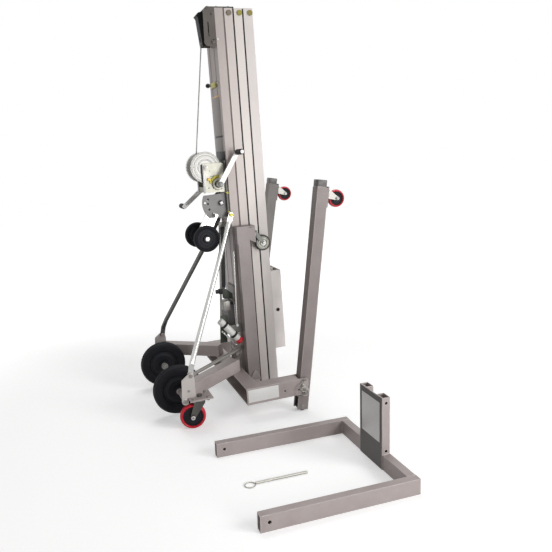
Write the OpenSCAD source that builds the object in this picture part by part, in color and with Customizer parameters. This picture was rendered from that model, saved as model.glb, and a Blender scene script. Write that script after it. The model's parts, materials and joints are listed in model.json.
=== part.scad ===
// Material hoist, stowed: nested mast down, front legs folded up, fork frame and its pin on the floor.
// The machine leans back on its wheels, so its pieces are drawn square and leaned as one frame.
// Right is the side with the stay bar (negative Y); forward is positive X.

/* [Machine] */
// Backward lean of the stowed machine, degrees
lean = 2.2; // [1.8:0.1:2.6]
// Outer size of the square frame tube
tube = 63.5; // [60:0.5:66]
// Wall of the square frame tube
tube_wall = 4; // [3:0.5:5]
// Clearance between parts that slide or swing past each other
gap = 0.3; // [0.3:0.1:0.6]
// Radial clearance of a pin in its running bore
fit = 0.05; // [0.02:0.01:0.1]

/* [Base] */
// Rear edge of the cross channel
channel_x = 300; // [290:1:305]
// Depth of the cross channel, front to back
channel_d = 70; // [64:1:76]
// Underside of the cross channel
channel_z = 72; // [68:1:76]
// Height of the cross channel
channel_h = 84; // [80:1:90]
// Wall of the cross channel
channel_wall = 5; // [4:0.5:6]
// Wall of the side members
member_wall = 5.5; // [4:0.5:6]
// Front end of the side members' walls
member_x1 = 604; // [596:1:612]
// Side play of a leg between the walls
leg_play = 0.75; // [0.5:0.05:1.2]
// Half distance between the legs' middles
leg_y = 399; // [390:1:410]
// Radius of the ears round the leg pivot
ear_r = 24; // [22:1:26]
// Splay of the rear arms, degrees
arm_splay = 37.6; // [36:0.2:39]
// Length of a rear arm
arm_len = 361; // [350:1:370]
// Middle of a rear arm's rear end, from the machine's rear axle line
arm_x = 43; // [40:1:48]
// Half distance between the rear ends of the arms
arm_y = 365; // [360:1:370]

/* [Legs] */
// Height of the leg pivot
pivot_z = 84; // [82:1:88]
// Radius of the leg pivot bolt
pivot_r = 10; // [8:0.5:12]
// Outer size of a leg's square tube
leg_tube = 57; // [54:0.5:60]
// Forward lean of the right leg when folded, degrees
leg_lean_right = 9; // [7:0.5:9.5]
// Forward lean of the left leg when folded, degrees
leg_lean_left = 11; // [10:0.5:12]
// Length of a leg tube above its pivot
leg_up = 1022; // [1000:1:1040]
// Length of a leg tube below its pivot
leg_down = 98; // [94:1:100]
// Height of the end cap of a leg
leg_cap_h = 34; // [25:1:40]
// Radius of the roller at a leg's root
roller_r = 24; // [22:0.5:24]

/* [Wheels] */
// Radius of the large fixed wheels
big_r = 125; // [120:1:127]
// Width of the large fixed wheels
big_w = 62; // [56:1:64]
// Radius of the rear swivel wheels
rear_r = 62.5; // [60:0.5:64]
// Width of the rear swivel wheels
rear_w = 34; // [30:1:36]
// Radius of the leg caster wheels
leg_wheel_r = 43; // [40:1:43]
// Radius of the stabiliser caster wheels
stab_wheel_r = 42; // [38:1:43]
// Radius of the loading wheels
load_wheel_r = 68; // [62:1:69]
// Width of the loading wheels
load_wheel_w = 36; // [30:1:38]

/* [Mast] */
// Rear face of the first column
mast_x = 386; // [384:1:390]
// Distance from one column to the next
pitch = 49; // [48:0.5:50]
// Width of the columns
col_w = 200; // [196:1:204]
// Top of the columns
mast_top = 1975; // [1900:5:2050]
// Foot of the first column
mast_foot = 60; // [56:1:66]
// Foot of the sliding columns
slide_foot = 44; // [40:1:50]
// Wall of the column extrusions
col_wall = 2.5; // [2:0.5:3]
// Foot of the carriage
carriage_z0 = 221; // [210:1:230]
// Top of the carriage
carriage_z1 = 654; // [640:1:670]

/* [Winch] */
// Height of the drum axle
drum_z = 1222; // [1200:1:1240]
// Drum axle's distance from the machine's rear axle line
drum_x = 283; // [280:1:286]
// Radius of the drum flanges
flange_r = 78; // [77:0.5:79]
// Gear module, tooth size
gear_m = 2.5; // [2.5:0.1:2.6]
// Teeth on the drum gear
gear_teeth = 60; // [58:1:60]
// Teeth on the pinion
pinion_teeth = 22; // [20:1:22]
// Radius of the lift cable
cable_r = 3; // [2.5:0.1:3]
// Length of a crank, hub to grip
crank_len = 182; // [170:1:190]

/* [Forks] */
// Outer width of the fork frame
fork_w = 621; // [580:1:640]
// Length of the fork arms
fork_len = 637; // [600:1:660]
// Width of a fork arm
fork_arm_w = 34; // [30:1:38]
// Width of the bracket plate
bracket_w = 186; // [180:1:192]
// Height of the bracket plate
bracket_h = 309; // [300:1:320]

/* [Hidden] */
$fn = 64;

RIGHT = -1;
LEFT = 1;
half_tube = tube / 2;
bore_in = tube / 2 - tube_wall;
channel_x1 = channel_x + channel_d;
channel_z1 = channel_z + channel_h;
wall_in = leg_y - half_tube - leg_play;
wall_out = leg_y + half_tube + leg_play;
pivot_x = member_x1;

// Height above the floor of a point of the leaned machine, and the reverse
function up(x, z) = x * sin(lean) + z * cos(lean);
function at_height(x, h) = (h - x * sin(lean)) / cos(lean);

// Origin: under the middle of everything's outline, on the floor
big_x = 5;
big_z = 140;
rear_edge = big_x * cos(lean) - big_z * sin(lean) - big_r;
fork_x0 = 60;
fork_y0 = -1324;
leg_wheel_out = 86;
leg_wheel_s = 974;
lean_left = leg_lean_left - lean;
front_edge = pivot_x * cos(lean) - pivot_z * sin(lean) + leg_wheel_s * sin(lean_left)
    + leg_wheel_out * cos(lean_left) + leg_wheel_r;
origin_x = -(rear_edge + front_edge) / 2;
lock_pin_l = 26;
origin_y = -(fork_y0 + wall_out + lock_pin_l) / 2;

// The leaned machine, the floor, and one side of the machine from a left-hand drawing
module machine() translate([origin_x, origin_y, 0]) rotate([0, -lean, 0]) children();
module on_floor() translate([origin_x, origin_y, 0]) children();
module side(s) machine() mirror([0, s == RIGHT ? 1 : 0, 0]) children();

// Profiles drawn in the machine's side view and given a width across it
module across(y0, y1) translate([0, y1, 0]) rotate([90, 0, 0]) linear_extrude(y1 - y0) children();
module rod(x, z, r, y0, y1) translate([x, y0, z]) rotate([-90, 0, 0]) cylinder(r = r, h = y1 - y0);
module rect(x0, x1, z0, z1) translate([x0, z0]) square([x1 - x0, z1 - z0]);
module box(x0, x1, y0, y1, z0, z1) translate([x0, y0, z0]) cube([x1 - x0, y1 - y0, z1 - z0]);

paint = "#b3aaa6";
bare = "#c9c6c4";
dark = "#3a3a3c";

// Cross channel, open to the rear, with the mast foot and the pegs of the stabilisers
foot_x = mast_x - 8;
foot_w = 180;
foot_top = 220;
stab_x0 = 395.5;
stab_x1 = stab_x0 + tube;
stab_y0 = col_w / 2 + 2;
stab_y1 = stab_y0 + tube;
stab_z0 = 100;
peg_h = 35;
module channel_profile() difference() {
    rect(channel_x, channel_x1, channel_z, channel_z1);
    rect(channel_x - 1, channel_x1 - channel_wall, channel_z + channel_wall, channel_z1 - channel_wall);
}
module mast_foot() {
    box(foot_x, mast_x, -foot_w / 2, foot_w / 2, mast_foot, foot_top);
    for (y = [-75, -5, 65]) box(channel_x1, foot_x, y, y + 10, mast_foot + 12, foot_top - 20);
    for (y = [-55, 55], z = [185, 205])
        translate([foot_x, y, z]) rotate([0, -90, 0]) cylinder(r = 9, h = 6, $fn = 6);
}
module stabiliser_seat() {
    box(channel_x1, stab_x1, stab_y0, stab_y1 + 6, stab_z0 - 10, stab_z0);
    difference() {
        box(stab_x0 + tube_wall + gap, stab_x1 - tube_wall - gap, stab_y0 + tube_wall + gap,
            stab_y1 - tube_wall - gap, stab_z0, stab_z0 + peg_h);
        box(stab_x0 + 9, stab_x1 - 9, stab_y0 + 9, stab_y1 - 9, stab_z0 + 4, stab_z0 + peg_h + 1);
    }
    across(stab_y1 + 0.6, stab_y1 + 6) hull() {
        rect(stab_x0 + 10, stab_x1 - 4, stab_z0 - 10, stab_z0 + 8);
        translate([stab_x0 + 37, stab_z0 + 30]) circle(r = 12);
    }
}
module cross_channel() color(paint) machine() {
    across(-wall_out, wall_out) channel_profile();
    mast_foot();
    for (s = [0, 1]) mirror([0, s, 0]) stabiliser_seat();
}

// Side member: two walls, a top and a short bottom, with ears round the leg pivot
member_top_x = 575;
member_bottom_x = 485;
hole_r = 5.5;
lock_x = 594;
lock_z = 119;
lock_r = 6;
module member_wall_shape(x0) difference() {
    union() {
        polygon([[x0, channel_z], [pivot_x - 14, channel_z], [pivot_x, pivot_z], [pivot_x + 14, 100],
            [pivot_x + 21, 118], [pivot_x + 21, channel_z1 - 8], [pivot_x + 13, channel_z1], [x0, channel_z1]]);
        translate([pivot_x, pivot_z]) circle(r = ear_r);
    }
    translate([pivot_x, pivot_z]) circle(r = pivot_r);
    translate([lock_x, lock_z]) circle(r = lock_r + fit);
    for (p = [[496, 109], [571, 99]]) translate(p) circle(r = hole_r);
}
module side_member(s) color(paint) side(s) {
    across(wall_in - member_wall, wall_in) difference() {
        member_wall_shape(channel_x1);
    }
    across(wall_out, wall_out + member_wall) difference() {
        member_wall_shape(channel_x);
        translate([channel_x + 16, 115]) circle(r = hole_r);
    }
    box(channel_x1, member_top_x, wall_in, wall_out, channel_z1 - member_wall, channel_z1);
    box(channel_x1, member_bottom_x, wall_in, wall_out, channel_z, channel_z + member_wall);
    rod(pivot_x, pivot_z, pivot_r, wall_in - member_wall, wall_out + member_wall);
    rod(pivot_x, pivot_z, pivot_r + 6, wall_out + member_wall, wall_out + member_wall + 8);
    rod(pivot_x, pivot_z, pivot_r + 6, wall_in - member_wall - 9, wall_in - member_wall);
}

// Rear arm: a splayed square tube lying on the cross channel, open at its rear end
module rear_arm(s) color(paint) side(s)
    translate([arm_x, arm_y, channel_z1]) rotate([0, 0, -arm_splay]) difference() {
        box(0, arm_len, -half_tube, half_tube, 0, tube);
        box(-1, arm_len - 6, -bore_in, bore_in, tube_wall, tube - tube_wall);
    }

// Corner bracket: caster plate under the arm, upright plate for the brace, stub axle for the wheel
plate_t = 6;
caster_x = 75;
caster_y = 400;
caster_plate_z = channel_z1 - plate_t;
up_y0 = 392;
up_y1 = 400;
big_y = 217;
axle_r = 10;
brace_low = [42, 380, 262];
stay_y = up_y0 - 16;
stem_r = 8;
module upright_shape() difference() {
    hull() {
        translate([big_x + 2, big_z]) circle(r = 18);
        translate([10, 238]) circle(r = 14);
        rect(40, 60, caster_plate_z + plate_t, 240);
        translate([brace_low[0], brace_low[2]]) circle(r = 14);
    }
    rect(20, 80, 100, caster_plate_z + plate_t);
}
module corner_bracket(s) color(paint) side(s) {
    difference() {
        box(20, 132, 340, 450, caster_plate_z, caster_plate_z + plate_t);
        translate([caster_x, caster_y, 100]) cylinder(r = stem_r + fit, h = 100);
    }
    across(up_y0, up_y1) upright_shape();
    rod(big_x, big_z, axle_r, big_y - big_w / 2 - 8, up_y0);
    rod(big_x, big_z, 11, up_y1, up_y1 + 9);
    rod(big_x, big_z, axle_r + 5, big_y + big_w / 2 + 1, big_y + big_w / 2 + 9);
    rod(big_x, big_z, 15, big_y - big_w / 2 - 22, big_y - big_w / 2 - 1);
    rod(brace_low[0], brace_low[2], 6, up_y0 - 24, up_y0);
    rod(brace_low[0], brace_low[2], 9, stay_y + 3.5, up_y0 - 8.5);
    rod(brace_low[0], brace_low[2], 10, up_y0 - 28, stay_y - 3.5);
}

// Large fixed wheel: tyre with a rounded tread and a hollow-sided rim
module wheel_shape(r, w, bore, hub_r, hub_w) {
    polygon([[bore, -hub_w / 2], [hub_r, -hub_w / 2], [hub_r + 2, -w / 4], [r * 0.58, -w / 4], [r * 0.64, -w * 0.4],
        [r * 0.8, -w / 2], [r * 0.93, -w * 0.42], [r, -w * 0.2], [r, w * 0.2], [r * 0.93, w * 0.42], [r * 0.8, w / 2],
        [r * 0.64, w * 0.4], [r * 0.58, w / 4], [hub_r + 2, w / 4], [hub_r, hub_w / 2], [bore, hub_w / 2]]);
}
module wheel(r, w, bore, hub_r, hub_w) rotate([90, 0, 0]) rotate_extrude($fn = 96)
    wheel_shape(r, w, bore, hub_r, hub_w);
module big_wheel(s) color("#1d1e22") side(s) translate([big_x, big_y, big_z])
    wheel(big_r, big_w, axle_r + fit, 22, big_w - 1);

// Rear swivel caster: stem and nut in the plate, fork and wheel
rear_wheel_x = -40;
swivel = 10;
rear_z = at_height(caster_x + rear_wheel_x * cos(swivel), rear_r);
rear_axle_r = 6;
module rear_caster(s) side(s) translate([caster_x, caster_y, 0]) rotate([0, 0, swivel]) children();
module fork_side(x, z, r, top_x0, top_x1, top_z) hull() {
    translate([x, z]) circle(r = r);
    rect(top_x0, top_x1, top_z - 4, top_z);
}
module rear_caster_fork(s) color("#8a8a8c") rear_caster(s) {
    fork_top = caster_plate_z - 16;
    for (y = [-rear_w / 2 - 6, rear_w / 2 + 3]) across(y, y + 3) difference() {
        fork_side(rear_wheel_x, rear_z, 12, -28, 24, fork_top);
        translate([rear_wheel_x, rear_z]) circle(r = rear_axle_r);
    }
    box(-28, 24, -rear_w / 2 - 6, rear_w / 2 + 6, fork_top - 1, fork_top + 3);
    translate([0, 0, fork_top + 3]) cylinder(r = 27, h = caster_plate_z - gap - fork_top - 3);
    cylinder_z(stem_r, caster_plate_z - 2, caster_plate_z + plate_t + 2);
    cylinder_z(13, caster_plate_z + plate_t + gap, caster_plate_z + plate_t + 9);
    rod(rear_wheel_x, rear_z, rear_axle_r, -rear_w / 2 - 9, rear_w / 2 + 9);
    for (y = [-rear_w / 2 - 13, rear_w / 2 + 6]) rod(rear_wheel_x, rear_z, 11, y, y + 7);
}
module cylinder_z(r, z0, z1) translate([0, 0, z0]) cylinder(r = r, h = z1 - z0);
module rear_caster_wheel(s) color("#c41e25") rear_caster(s) translate([rear_wheel_x, 0, rear_z])
    wheel(rear_r, rear_w, rear_axle_r + fit, 16, rear_w + 4);
// Mast brace: pale tube with flattened, bolted ends; stay bar on the right side only
module strut(a, b, r) {
    d = b - a;
    l = norm(d);
    translate(a) rotate([0, acos(d[2] / l), atan2(d[1], d[0])]) cylinder(r = r, h = l);
}
brace_top = [383, 110, 974];
module tab(eye, bend, end, half) {
    hull() for (p = [eye, bend]) rod(p[0], p[2], 13, p[1] - half, p[1] + half);
    hull() {
        rod(bend[0], bend[2], 13, bend[1] - half, bend[1] + half);
        translate(end) sphere(r = 12, $fn = 24);
    }
}
module mast_brace(s) color("#dedad6") side(s) {
    low = [brace_low[0], up_y0 - 4, brace_low[2]];
    knee = low + [14, -1, 60];
    high = brace_top - [20, -4, 56];
    u = unit(high - knee);
    difference() {
        union() {
            strut(knee + u * 30, high - u * 30, 12.5);
            tab(low, low + [10, 0, 44], knee + u * 34, 4 - gap / 2);
            tab(brace_top, brace_top - [14, 0, 40], high - u * 34, 4);
        }
        rod(low[0], low[2], 6, low[1] - 20, low[1] + 20);
        rod(brace_top[0], brace_top[2], 6, brace_top[1] - 20, brace_top[1] + 20);
    }
}
module stay_bar() color("#dedad6") side(RIGHT) {
    low = [brace_low[0], stay_y, brace_low[2]];
    flat = low + [22, 0, 0];
    strut(low + [34, -11, 0], [382, 109, 262], 9);
    difference() {
        union() {
            hull() for (p = [low, flat]) rod(p[0], p[2], 10, stay_y - 3.5 + gap, stay_y + 3.5 - gap);
            hull() {
                rod(flat[0], flat[2], 9, stay_y - 3.5 + gap, stay_y + 3.5 - gap);
                translate(low + [38, -14, 0]) sphere(r = 8, $fn = 24);
            }
        }
        rod(low[0], low[2], 6, stay_y - 9, stay_y + 9);
    }
    box(378, 394, 100, 104, 252, 272);
}

// Mast columns: hollow extrusions whose rear rails run in the slots of the column behind
col_d = pitch - gap;
rail_y = 62;
neck_l = 4.6;
neck_w = 12;
head_t = 5;
head_w = 24;
module rail_shape(grow) for (s = [-1, 1]) translate([0, s * rail_y]) {
    translate([-neck_l - grow, -neck_w / 2 - grow]) square([neck_l + 2 * grow + 1, neck_w + 2 * grow]);
    translate([-neck_l - head_t - grow, -head_w / 2 - grow]) square([head_t + 2 * grow, head_w + 2 * grow]);
}
module chamber(x0, x1, y0, y1) translate([x0, y0]) square([x1 - x0, y1 - y0]);
module column_shape(rails, slots) {
    back = pitch - neck_l - head_t - 2 * gap - 2 * col_wall;
    front = back + col_wall;
    edge = col_w / 2;
    pocket = head_w / 2 + gap + col_wall;
    difference() {
        union() {
            chamber(0, col_d, -edge, edge);
            if (rails) rail_shape(0);
        }
        if (slots) translate([pitch, 0]) rail_shape(gap);
        for (s = [-1, 1]) {
            chamber(col_wall, back, s > 0 ? 32 : -edge + col_wall, s > 0 ? edge - col_wall : -32);
            chamber(col_d - 7.5, col_d + 1, s > 0 ? edge - 5 : -edge - 1, s > 0 ? edge + 1 : -edge + 5);
            chamber(-1, 1.5, s * 46 - 14, s * 46 + 14);
        }
        chamber(col_wall, back, -29.5, 29.5);
        chamber(front, col_d - col_wall, -rail_y + pocket, rail_y - pocket);
    }
}
module column_bolts(x, z) for (s = [-1, 1])
    rod(x, z, 12.5, s > 0 ? col_w / 2 : -col_w / 2 - 7, s > 0 ? col_w / 2 + 7 : -col_w / 2);
sheave_x = 368;
sheave_z = mast_top - 115;
sheave_pitch_r = 31;
module column_1() color(bare) machine() {
    difference() {
        translate([mast_x, 0, mast_foot]) linear_extrude(mast_top - mast_foot) column_shape(false, true);
        box(mast_x - 1, mast_x + 6, -13, 13, sheave_z - 46, sheave_z + 46);
    }
    for (s = [0, 1]) mirror([0, s, 0]) {
        box(brace_top[0] - 10, mast_x + 30, 100, 105.5, brace_top[2] - 14, brace_top[2] + 14);
        rod(brace_top[0], brace_top[2], 6, 105, brace_top[1] + 8);
        rod(brace_top[0], brace_top[2], 10, brace_top[1] + 4.5, brace_top[1] + 9);
    }
}
module column(i, bolt_x) color(bare) machine() {
    translate([mast_x + (i - 1) * pitch, 0, slide_foot]) linear_extrude(mast_top - slide_foot)
        column_shape(true, true);
    column_bolts(bolt_x, mast_top - 22);
}
module column_2() column(2, 458);
module column_3() column(3, 512);
module column_4() column(4, 566);
module column_2_cap() color(dark) machine() difference() {
    box(mast_x + pitch, mast_x + 2 * pitch - gap, -col_w / 2, col_w / 2, mast_top, mast_top + 6);
    translate([mast_x + 2 * pitch, 0, mast_top - 1]) linear_extrude(8) rail_shape(gap);
}

// Carriage: a channel on rails, with cross holes for the fork pin
carriage_x0 = mast_x + 4 * pitch;
carriage_x1 = 638;
carriage_half = 95;
fork_pin_r = 10;
module carriage() color("#d8d6d4") machine() difference() {
    translate([0, 0, carriage_z0]) linear_extrude(carriage_z1 - carriage_z0) union() {
        translate([carriage_x0, 0]) rail_shape(0);
        difference() {
            translate([carriage_x0, -carriage_half]) square([carriage_x1 - carriage_x0, 2 * carriage_half]);
            for (y = [-carriage_half + 4, 3]) translate([carriage_x0 + 5, y])
                square([carriage_x1 - carriage_x0 - 10, carriage_half - 7]);
        }
    }
    rod(609, 435, fork_pin_r, -carriage_half - 1, carriage_half + 1);
}

// Head housing: side plates, sloping rear cover, cap over the first column and the sheave axle
head_y = col_w / 2;
cheek_t = 4;
cheek_z = mast_top - 175;
guard_y = 28;
guard_t = 3;
guard_outline = [[332, cheek_z + 12], [319.5, mast_top - 30], [311, mast_top - 18], [323, mast_top - 6],
    [345, mast_top]];
module near_cheek() difference() {
    hull() {
        translate([344, cheek_z + 19]) circle(r = 19);
        translate([343, mast_top - 19]) circle(r = 14);
        rect(362, mast_x, cheek_z - 2, mast_top);
    }
    rect(347, 353, cheek_z + 43, cheek_z + 111);
    translate([372, cheek_z + 30]) circle(r = 4);
}
module head_housing() color(dark) machine() {
    across(-head_y, -head_y + cheek_t) near_cheek();
    across(head_y - cheek_t, head_y) rect(358, mast_x, cheek_z + 40, mast_top);
    for (s = [0, 1]) mirror([0, s, 0]) box(mast_x - 4, mast_x, 16, head_y - cheek_t, cheek_z + 40, mast_top);
    difference() {
        box(345, mast_x + pitch - gap, -head_y, head_y, mast_top - 0.5, mast_top + 6);
        translate([mast_x + pitch, 0, mast_top - 1]) linear_extrude(8) rail_shape(gap);
        box(mast_x, mast_x + pitch, -head_y - 1, head_y + 1, mast_top - 1, mast_top);
    }
    difference() {
        across(-guard_y, guard_y) polygon(concat(guard_outline, [[mast_x - 2, mast_top], [mast_x - 2, cheek_z + 12]]));
        across(-guard_y + guard_t, guard_y - guard_t) polygon([[332 + guard_t, cheek_z + 11],
            [319.5 + guard_t, mast_top - 30], [315, mast_top - 18], [324.5, mast_top - 9.5], [345, mast_top - guard_t],
            [mast_x, mast_top - guard_t], [mast_x, cheek_z + 11]]);
        box(300, 340, -6, 6, cheek_z + 11, cheek_z + 58);
    }
    for (y = [[-head_y + 2, -9], [9, head_y - 2]]) rod(sheave_x, sheave_z, 11, y[0], y[1]);
    rod(sheave_x, sheave_z, 7, -12, 12);
}
module head_pulley() color("#8a8a8c") machine() translate([sheave_x, 0, sheave_z]) rotate([90, 0, 0])
    rotate_extrude() difference() {
        translate([7 + fit, -8.5]) square([sheave_pitch_r + 2 - fit - 7 + 1, 17]);
        translate([sheave_pitch_r, 0]) circle(r = cable_r + 2 * gap);
        polygon([[sheave_pitch_r, 0], [sheave_pitch_r + 6, -7], [sheave_pitch_r + 6, 7]]);
    }

// Lift cable: wound on the drum, up to the sheave, over it and down inside the first column
core_r = 32;
wind_r = core_r + cable_r + 2 * gap;
wind_turns = 8;
wind_step = 2 * cable_r + 1.2;
wind_y0 = -wind_turns * wind_step;
run_dx = sheave_x - drum_x;
run_dz = sheave_z - drum_z;
run_l = norm([run_dx, run_dz]);
run_tilt = atan2(run_dx, run_dz);
side_step = asin((sheave_pitch_r - wind_r) / run_l);
leave = 180 - (run_tilt - side_step);
function wheel_point(x, z, r, a, y) = [x + r * cos(a), y, z + r * sin(a)];
rings_per_turn = 24;
cable_route = concat(
    [for (i = [0:wind_turns * rings_per_turn]) wheel_point(drum_x, drum_z, wind_r,
        leave + 360 * wind_turns - 360 * i / rings_per_turn, wind_y0 * (1 - i / (wind_turns * rings_per_turn)))],
    [for (i = [0:16]) wheel_point(sheave_x, sheave_z, sheave_pitch_r, leave - i * leave / 16, 0)],
    [[sheave_x + sheave_pitch_r, 0, sheave_z - 120]]);
function unit(v) = v / norm(v);
function heading(p, i) = unit(p[min(i + 1, len(p) - 1)] - p[max(i - 1, 0)]);
function ring(p, i, r, n) = let (t = heading(p, i), a = unit(cross([0, 1, 0], t)), b = cross(t, a))
    [for (k = [0:n - 1]) p[i] + r * (cos(360 * k / n) * a + sin(360 * k / n) * b)];
module sweep(p, r, n) {
    last = len(p) - 1;
    polyhedron(points = [for (i = [0:last]) each ring(p, i, r, n)], faces = concat(
        [[for (k = [0:n - 1]) k]],
        [for (i = [0:last - 1], k = [0:n - 1]) let (a = i * n + k, b = i * n + (k + 1) % n) each
            [[a, a + n, b], [b, a + n, b + n]]],
        [[for (k = [n - 1:-1:0]) last * n + k]]));
}
module lift_cable() color("#9a9a98") machine() sweep(cable_route, cable_r, 6);

// Involute gear teeth, drawn as a polygon round the pitch circle
pressure = 20;
backlash = 0.35;
function inv(a) = tan(a) * 180 / PI - a;
function half_tooth(z, r) = let (rp = gear_m * z / 2, rb = rp * cos(pressure))
    90 / z - backlash * 90 / (PI * rp) + inv(pressure) - inv(acos(min(1, rb / r)));
function tooth_radii(z) = let (rp = gear_m * z / 2, ra = rp + gear_m, rb = max(rp * cos(pressure), rp - 1.2 * gear_m))
    [rp - 1.22 * gear_m, rb, rp - 0.3 * gear_m, rp + 0.4 * gear_m, ra];
module gear_shape(z, turn) {
    radii = tooth_radii(z);
    polygon([for (t = [0:z - 1]) each concat(
        [for (i = [0:4]) let (a = turn + t * 360 / z - half_tooth(z, max(radii[i], radii[1])))
            radii[i] * [cos(a), sin(a)]],
        [for (i = [4:-1:0]) let (a = turn + t * 360 / z + half_tooth(z, max(radii[i], radii[1])))
            radii[i] * [cos(a), sin(a)]])]);
}

// Winch: side plates on a dark mounting plate, drum with gear, crankshaft with pinion
mesh_dir = -58.1;
mesh_l = gear_m * (gear_teeth + pinion_teeth) / 2;
crank_x = drum_x + mesh_l * cos(mesh_dir);
crank_z = drum_z + mesh_l * sin(mesh_dir);
drum_axle_r = 8;
shaft_r = 9;
plate_y = 71;
winch_plate = 4;
mount_x = mast_x - 12;
plate_z0 = drum_z - 128;
module winch_plate_shape() difference() {
    union() {
        rect(drum_x - 15, mount_x, plate_z0, drum_z + 4);
        rect(drum_x - 15, mount_x - 15, drum_z - 2, drum_z + 19);
        translate([mount_x - 15, drum_z + 4]) circle(r = 15);
    }
    translate([crank_x, crank_z]) circle(r = shaft_r + fit);
}
module winch_frame() color("silver") machine() {
    for (y = [-plate_y - winch_plate, plate_y]) across(y, y + winch_plate) winch_plate_shape();
    for (y = [-plate_y, plate_y - 14]) box(mount_x - 4, mount_x, y, y + 14, plate_z0, drum_z + 4);
    rod(drum_x, drum_z, drum_axle_r, -plate_y - winch_plate - 8, plate_y + winch_plate + 8);
    for (y = [-plate_y - winch_plate - 8, plate_y + winch_plate]) rod(drum_x, drum_z, 13, y, y + 8);
    box(drum_x - 15, drum_x + 10, -plate_y, plate_y, plate_z0 + 2, plate_z0 + 28);
    box(mount_x, mast_x, -90, 90, drum_z - 272, drum_z + 28);
}
gear_y0 = 44;
gear_y1 = 56;
flange_y = -66;
module winch_drum() color("silver") machine() difference() {
    union() {
        rod(drum_x, drum_z, core_r, flange_y, gear_y1);
        rod(drum_x, drum_z, flange_r, flange_y, flange_y + 3);
        for (r = [46, 62]) translate([drum_x, flange_y, drum_z]) rotate([90, 0, 0]) rotate_extrude()
            translate([r, -0.5]) square([6, 2]);
        rod(drum_x, drum_z, flange_r - 6, 36, 40);
        across(gear_y0, gear_y1) translate([drum_x, drum_z]) gear_shape(gear_teeth, mesh_dir);
    }
    rod(drum_x, drum_z, drum_axle_r + fit, flange_y - 5, gear_y1 + 5);
}
shaft_half = 136;
module winch_crankshaft() color("#a8a83a") machine() {
    rod(crank_x, crank_z, shaft_r, -shaft_half, shaft_half);
    across(gear_y0 - 1, gear_y1 + 1) translate([crank_x, crank_z])
        gear_shape(pinion_teeth, mesh_dir + 180 + 180 / pinion_teeth);
    rod(crank_x, crank_z, 24, -88, -80);
    for (y = [-98, 80]) rod(crank_x, crank_z, 14, y, y + 18);
}
crank_t = 8;
crank_y = shaft_half;
grip_r = 14;
grip_l = 80;
grip_pin_r = 5;
function crank_end(a) = [crank_x + crank_len * cos(a), crank_z + crank_len * sin(a)];
crank_dir_right = 57;
crank_dir_left = 219;
module crank(s, a) color("#e4e2df") side(s) {
    tip = crank_end(a);
    across(crank_y - crank_t, crank_y) difference() {
        hull() {
            translate([crank_x, crank_z]) circle(r = 13);
            translate(tip) circle(r = 11);
        }
        translate([crank_x, crank_z]) circle(r = shaft_r);
        translate(tip) circle(r = grip_pin_r);
    }
    rod(tip[0], tip[1], grip_pin_r, crank_y - crank_t, crank_y + grip_l + 2);
    rod(tip[0], tip[1], grip_pin_r + 4, crank_y + grip_l + 1.2, crank_y + grip_l + 4);
}
module crank_grip(s, a) color(dark) side(s) {
    tip = crank_end(a);
    difference() {
        translate([tip[0], crank_y + 1, tip[1]]) rotate([-90, 0, 0]) rotate_extrude() polygon([[0, 0], [grip_r - 2, 0],
            [grip_r, 4], [grip_r - 1.5, grip_l / 2], [grip_r, grip_l - 6], [grip_r - 3, grip_l], [0, grip_l]]);
        rod(tip[0], tip[1], grip_pin_r + fit, crank_y - 1, crank_y + grip_l + 6);
    }
}
module crank_right() crank(RIGHT, crank_dir_right);
module crank_left() crank(LEFT, crank_dir_left);
module crank_grip_right() crank_grip(RIGHT, crank_dir_right);
module crank_grip_left() crank_grip(LEFT, crank_dir_left);

// Loading wheels: quadrant with stop holes, swinging arm and a pair of wheels
quad_x = 346;
quad_z = 1038;
quad_r = 98;
quad_y = 66;
quad_t = 4;
quad_top = quad_z + 48;
quad_foot = quad_z - 74;
load_pivot_r = 8;
load_dir = 240.2;
load_l = 199;
load_x = quad_x + load_l * cos(load_dir);
load_z = quad_z + load_l * sin(load_dir);
stop_r = 70;
stop_pin_r = 5;
module quadrant_shape() difference() {
    union() {
        intersection() {
            translate([quad_x, quad_z]) circle(r = quad_r);
            polygon([[240, quad_top - 5], [mount_x, quad_top], [mount_x, quad_foot - 24], [240, quad_foot - 24]]);
        }
        polygon([[quad_x, quad_top - 3], [mount_x, quad_top], [mount_x, quad_foot], [quad_x, quad_foot]]);
    }
    rect(200, 400, quad_foot - 64, quad_foot);
    translate([quad_x, quad_z]) circle(r = load_pivot_r);
    for (a = [163.4, 180, 206.3]) translate([quad_x + stop_r * cos(a), quad_z + stop_r * sin(a)]) circle(r = 5);
    translate([quad_x + stop_r * cos(load_dir), quad_z + stop_r * sin(load_dir)]) circle(r = stop_pin_r + fit);
}
module wheel_quadrant() color("#57575b") machine() {
    across(-quad_y - quad_t, -quad_y) quadrant_shape();
    across(quad_y, quad_y + quad_t) difference() {
        hull() {
            translate([quad_x, quad_z]) circle(r = 26);
            rect(mount_x - 12, mount_x, quad_foot, quad_top);
        }
        translate([quad_x, quad_z]) circle(r = load_pivot_r);
    }
    for (y = [-quad_y, quad_y - 20]) box(mount_x - 4, mount_x, y, y + 20, quad_foot, quad_top);
    rod(quad_x, quad_z, load_pivot_r, -quad_y - quad_t, quad_y + quad_t);
    for (y = [-quad_y - quad_t - 8, quad_y + quad_t]) rod(quad_x, quad_z, 14, y, y + 8);
}
load_arm_y = 60;
load_axle_r = 8;
load_y = 107;
load_axle_half = 127.6;
module load_link() difference() {
    hull() {
        translate([quad_x, quad_z]) circle(r = 16);
        translate([load_x, load_z]) circle(r = 18);
    }
    translate([quad_x, quad_z]) circle(r = load_pivot_r + fit);
    translate([load_x, load_z]) circle(r = load_axle_r);
    translate([quad_x + stop_r * cos(load_dir), quad_z + stop_r * sin(load_dir)]) circle(r = stop_pin_r + 1);
}
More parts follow.
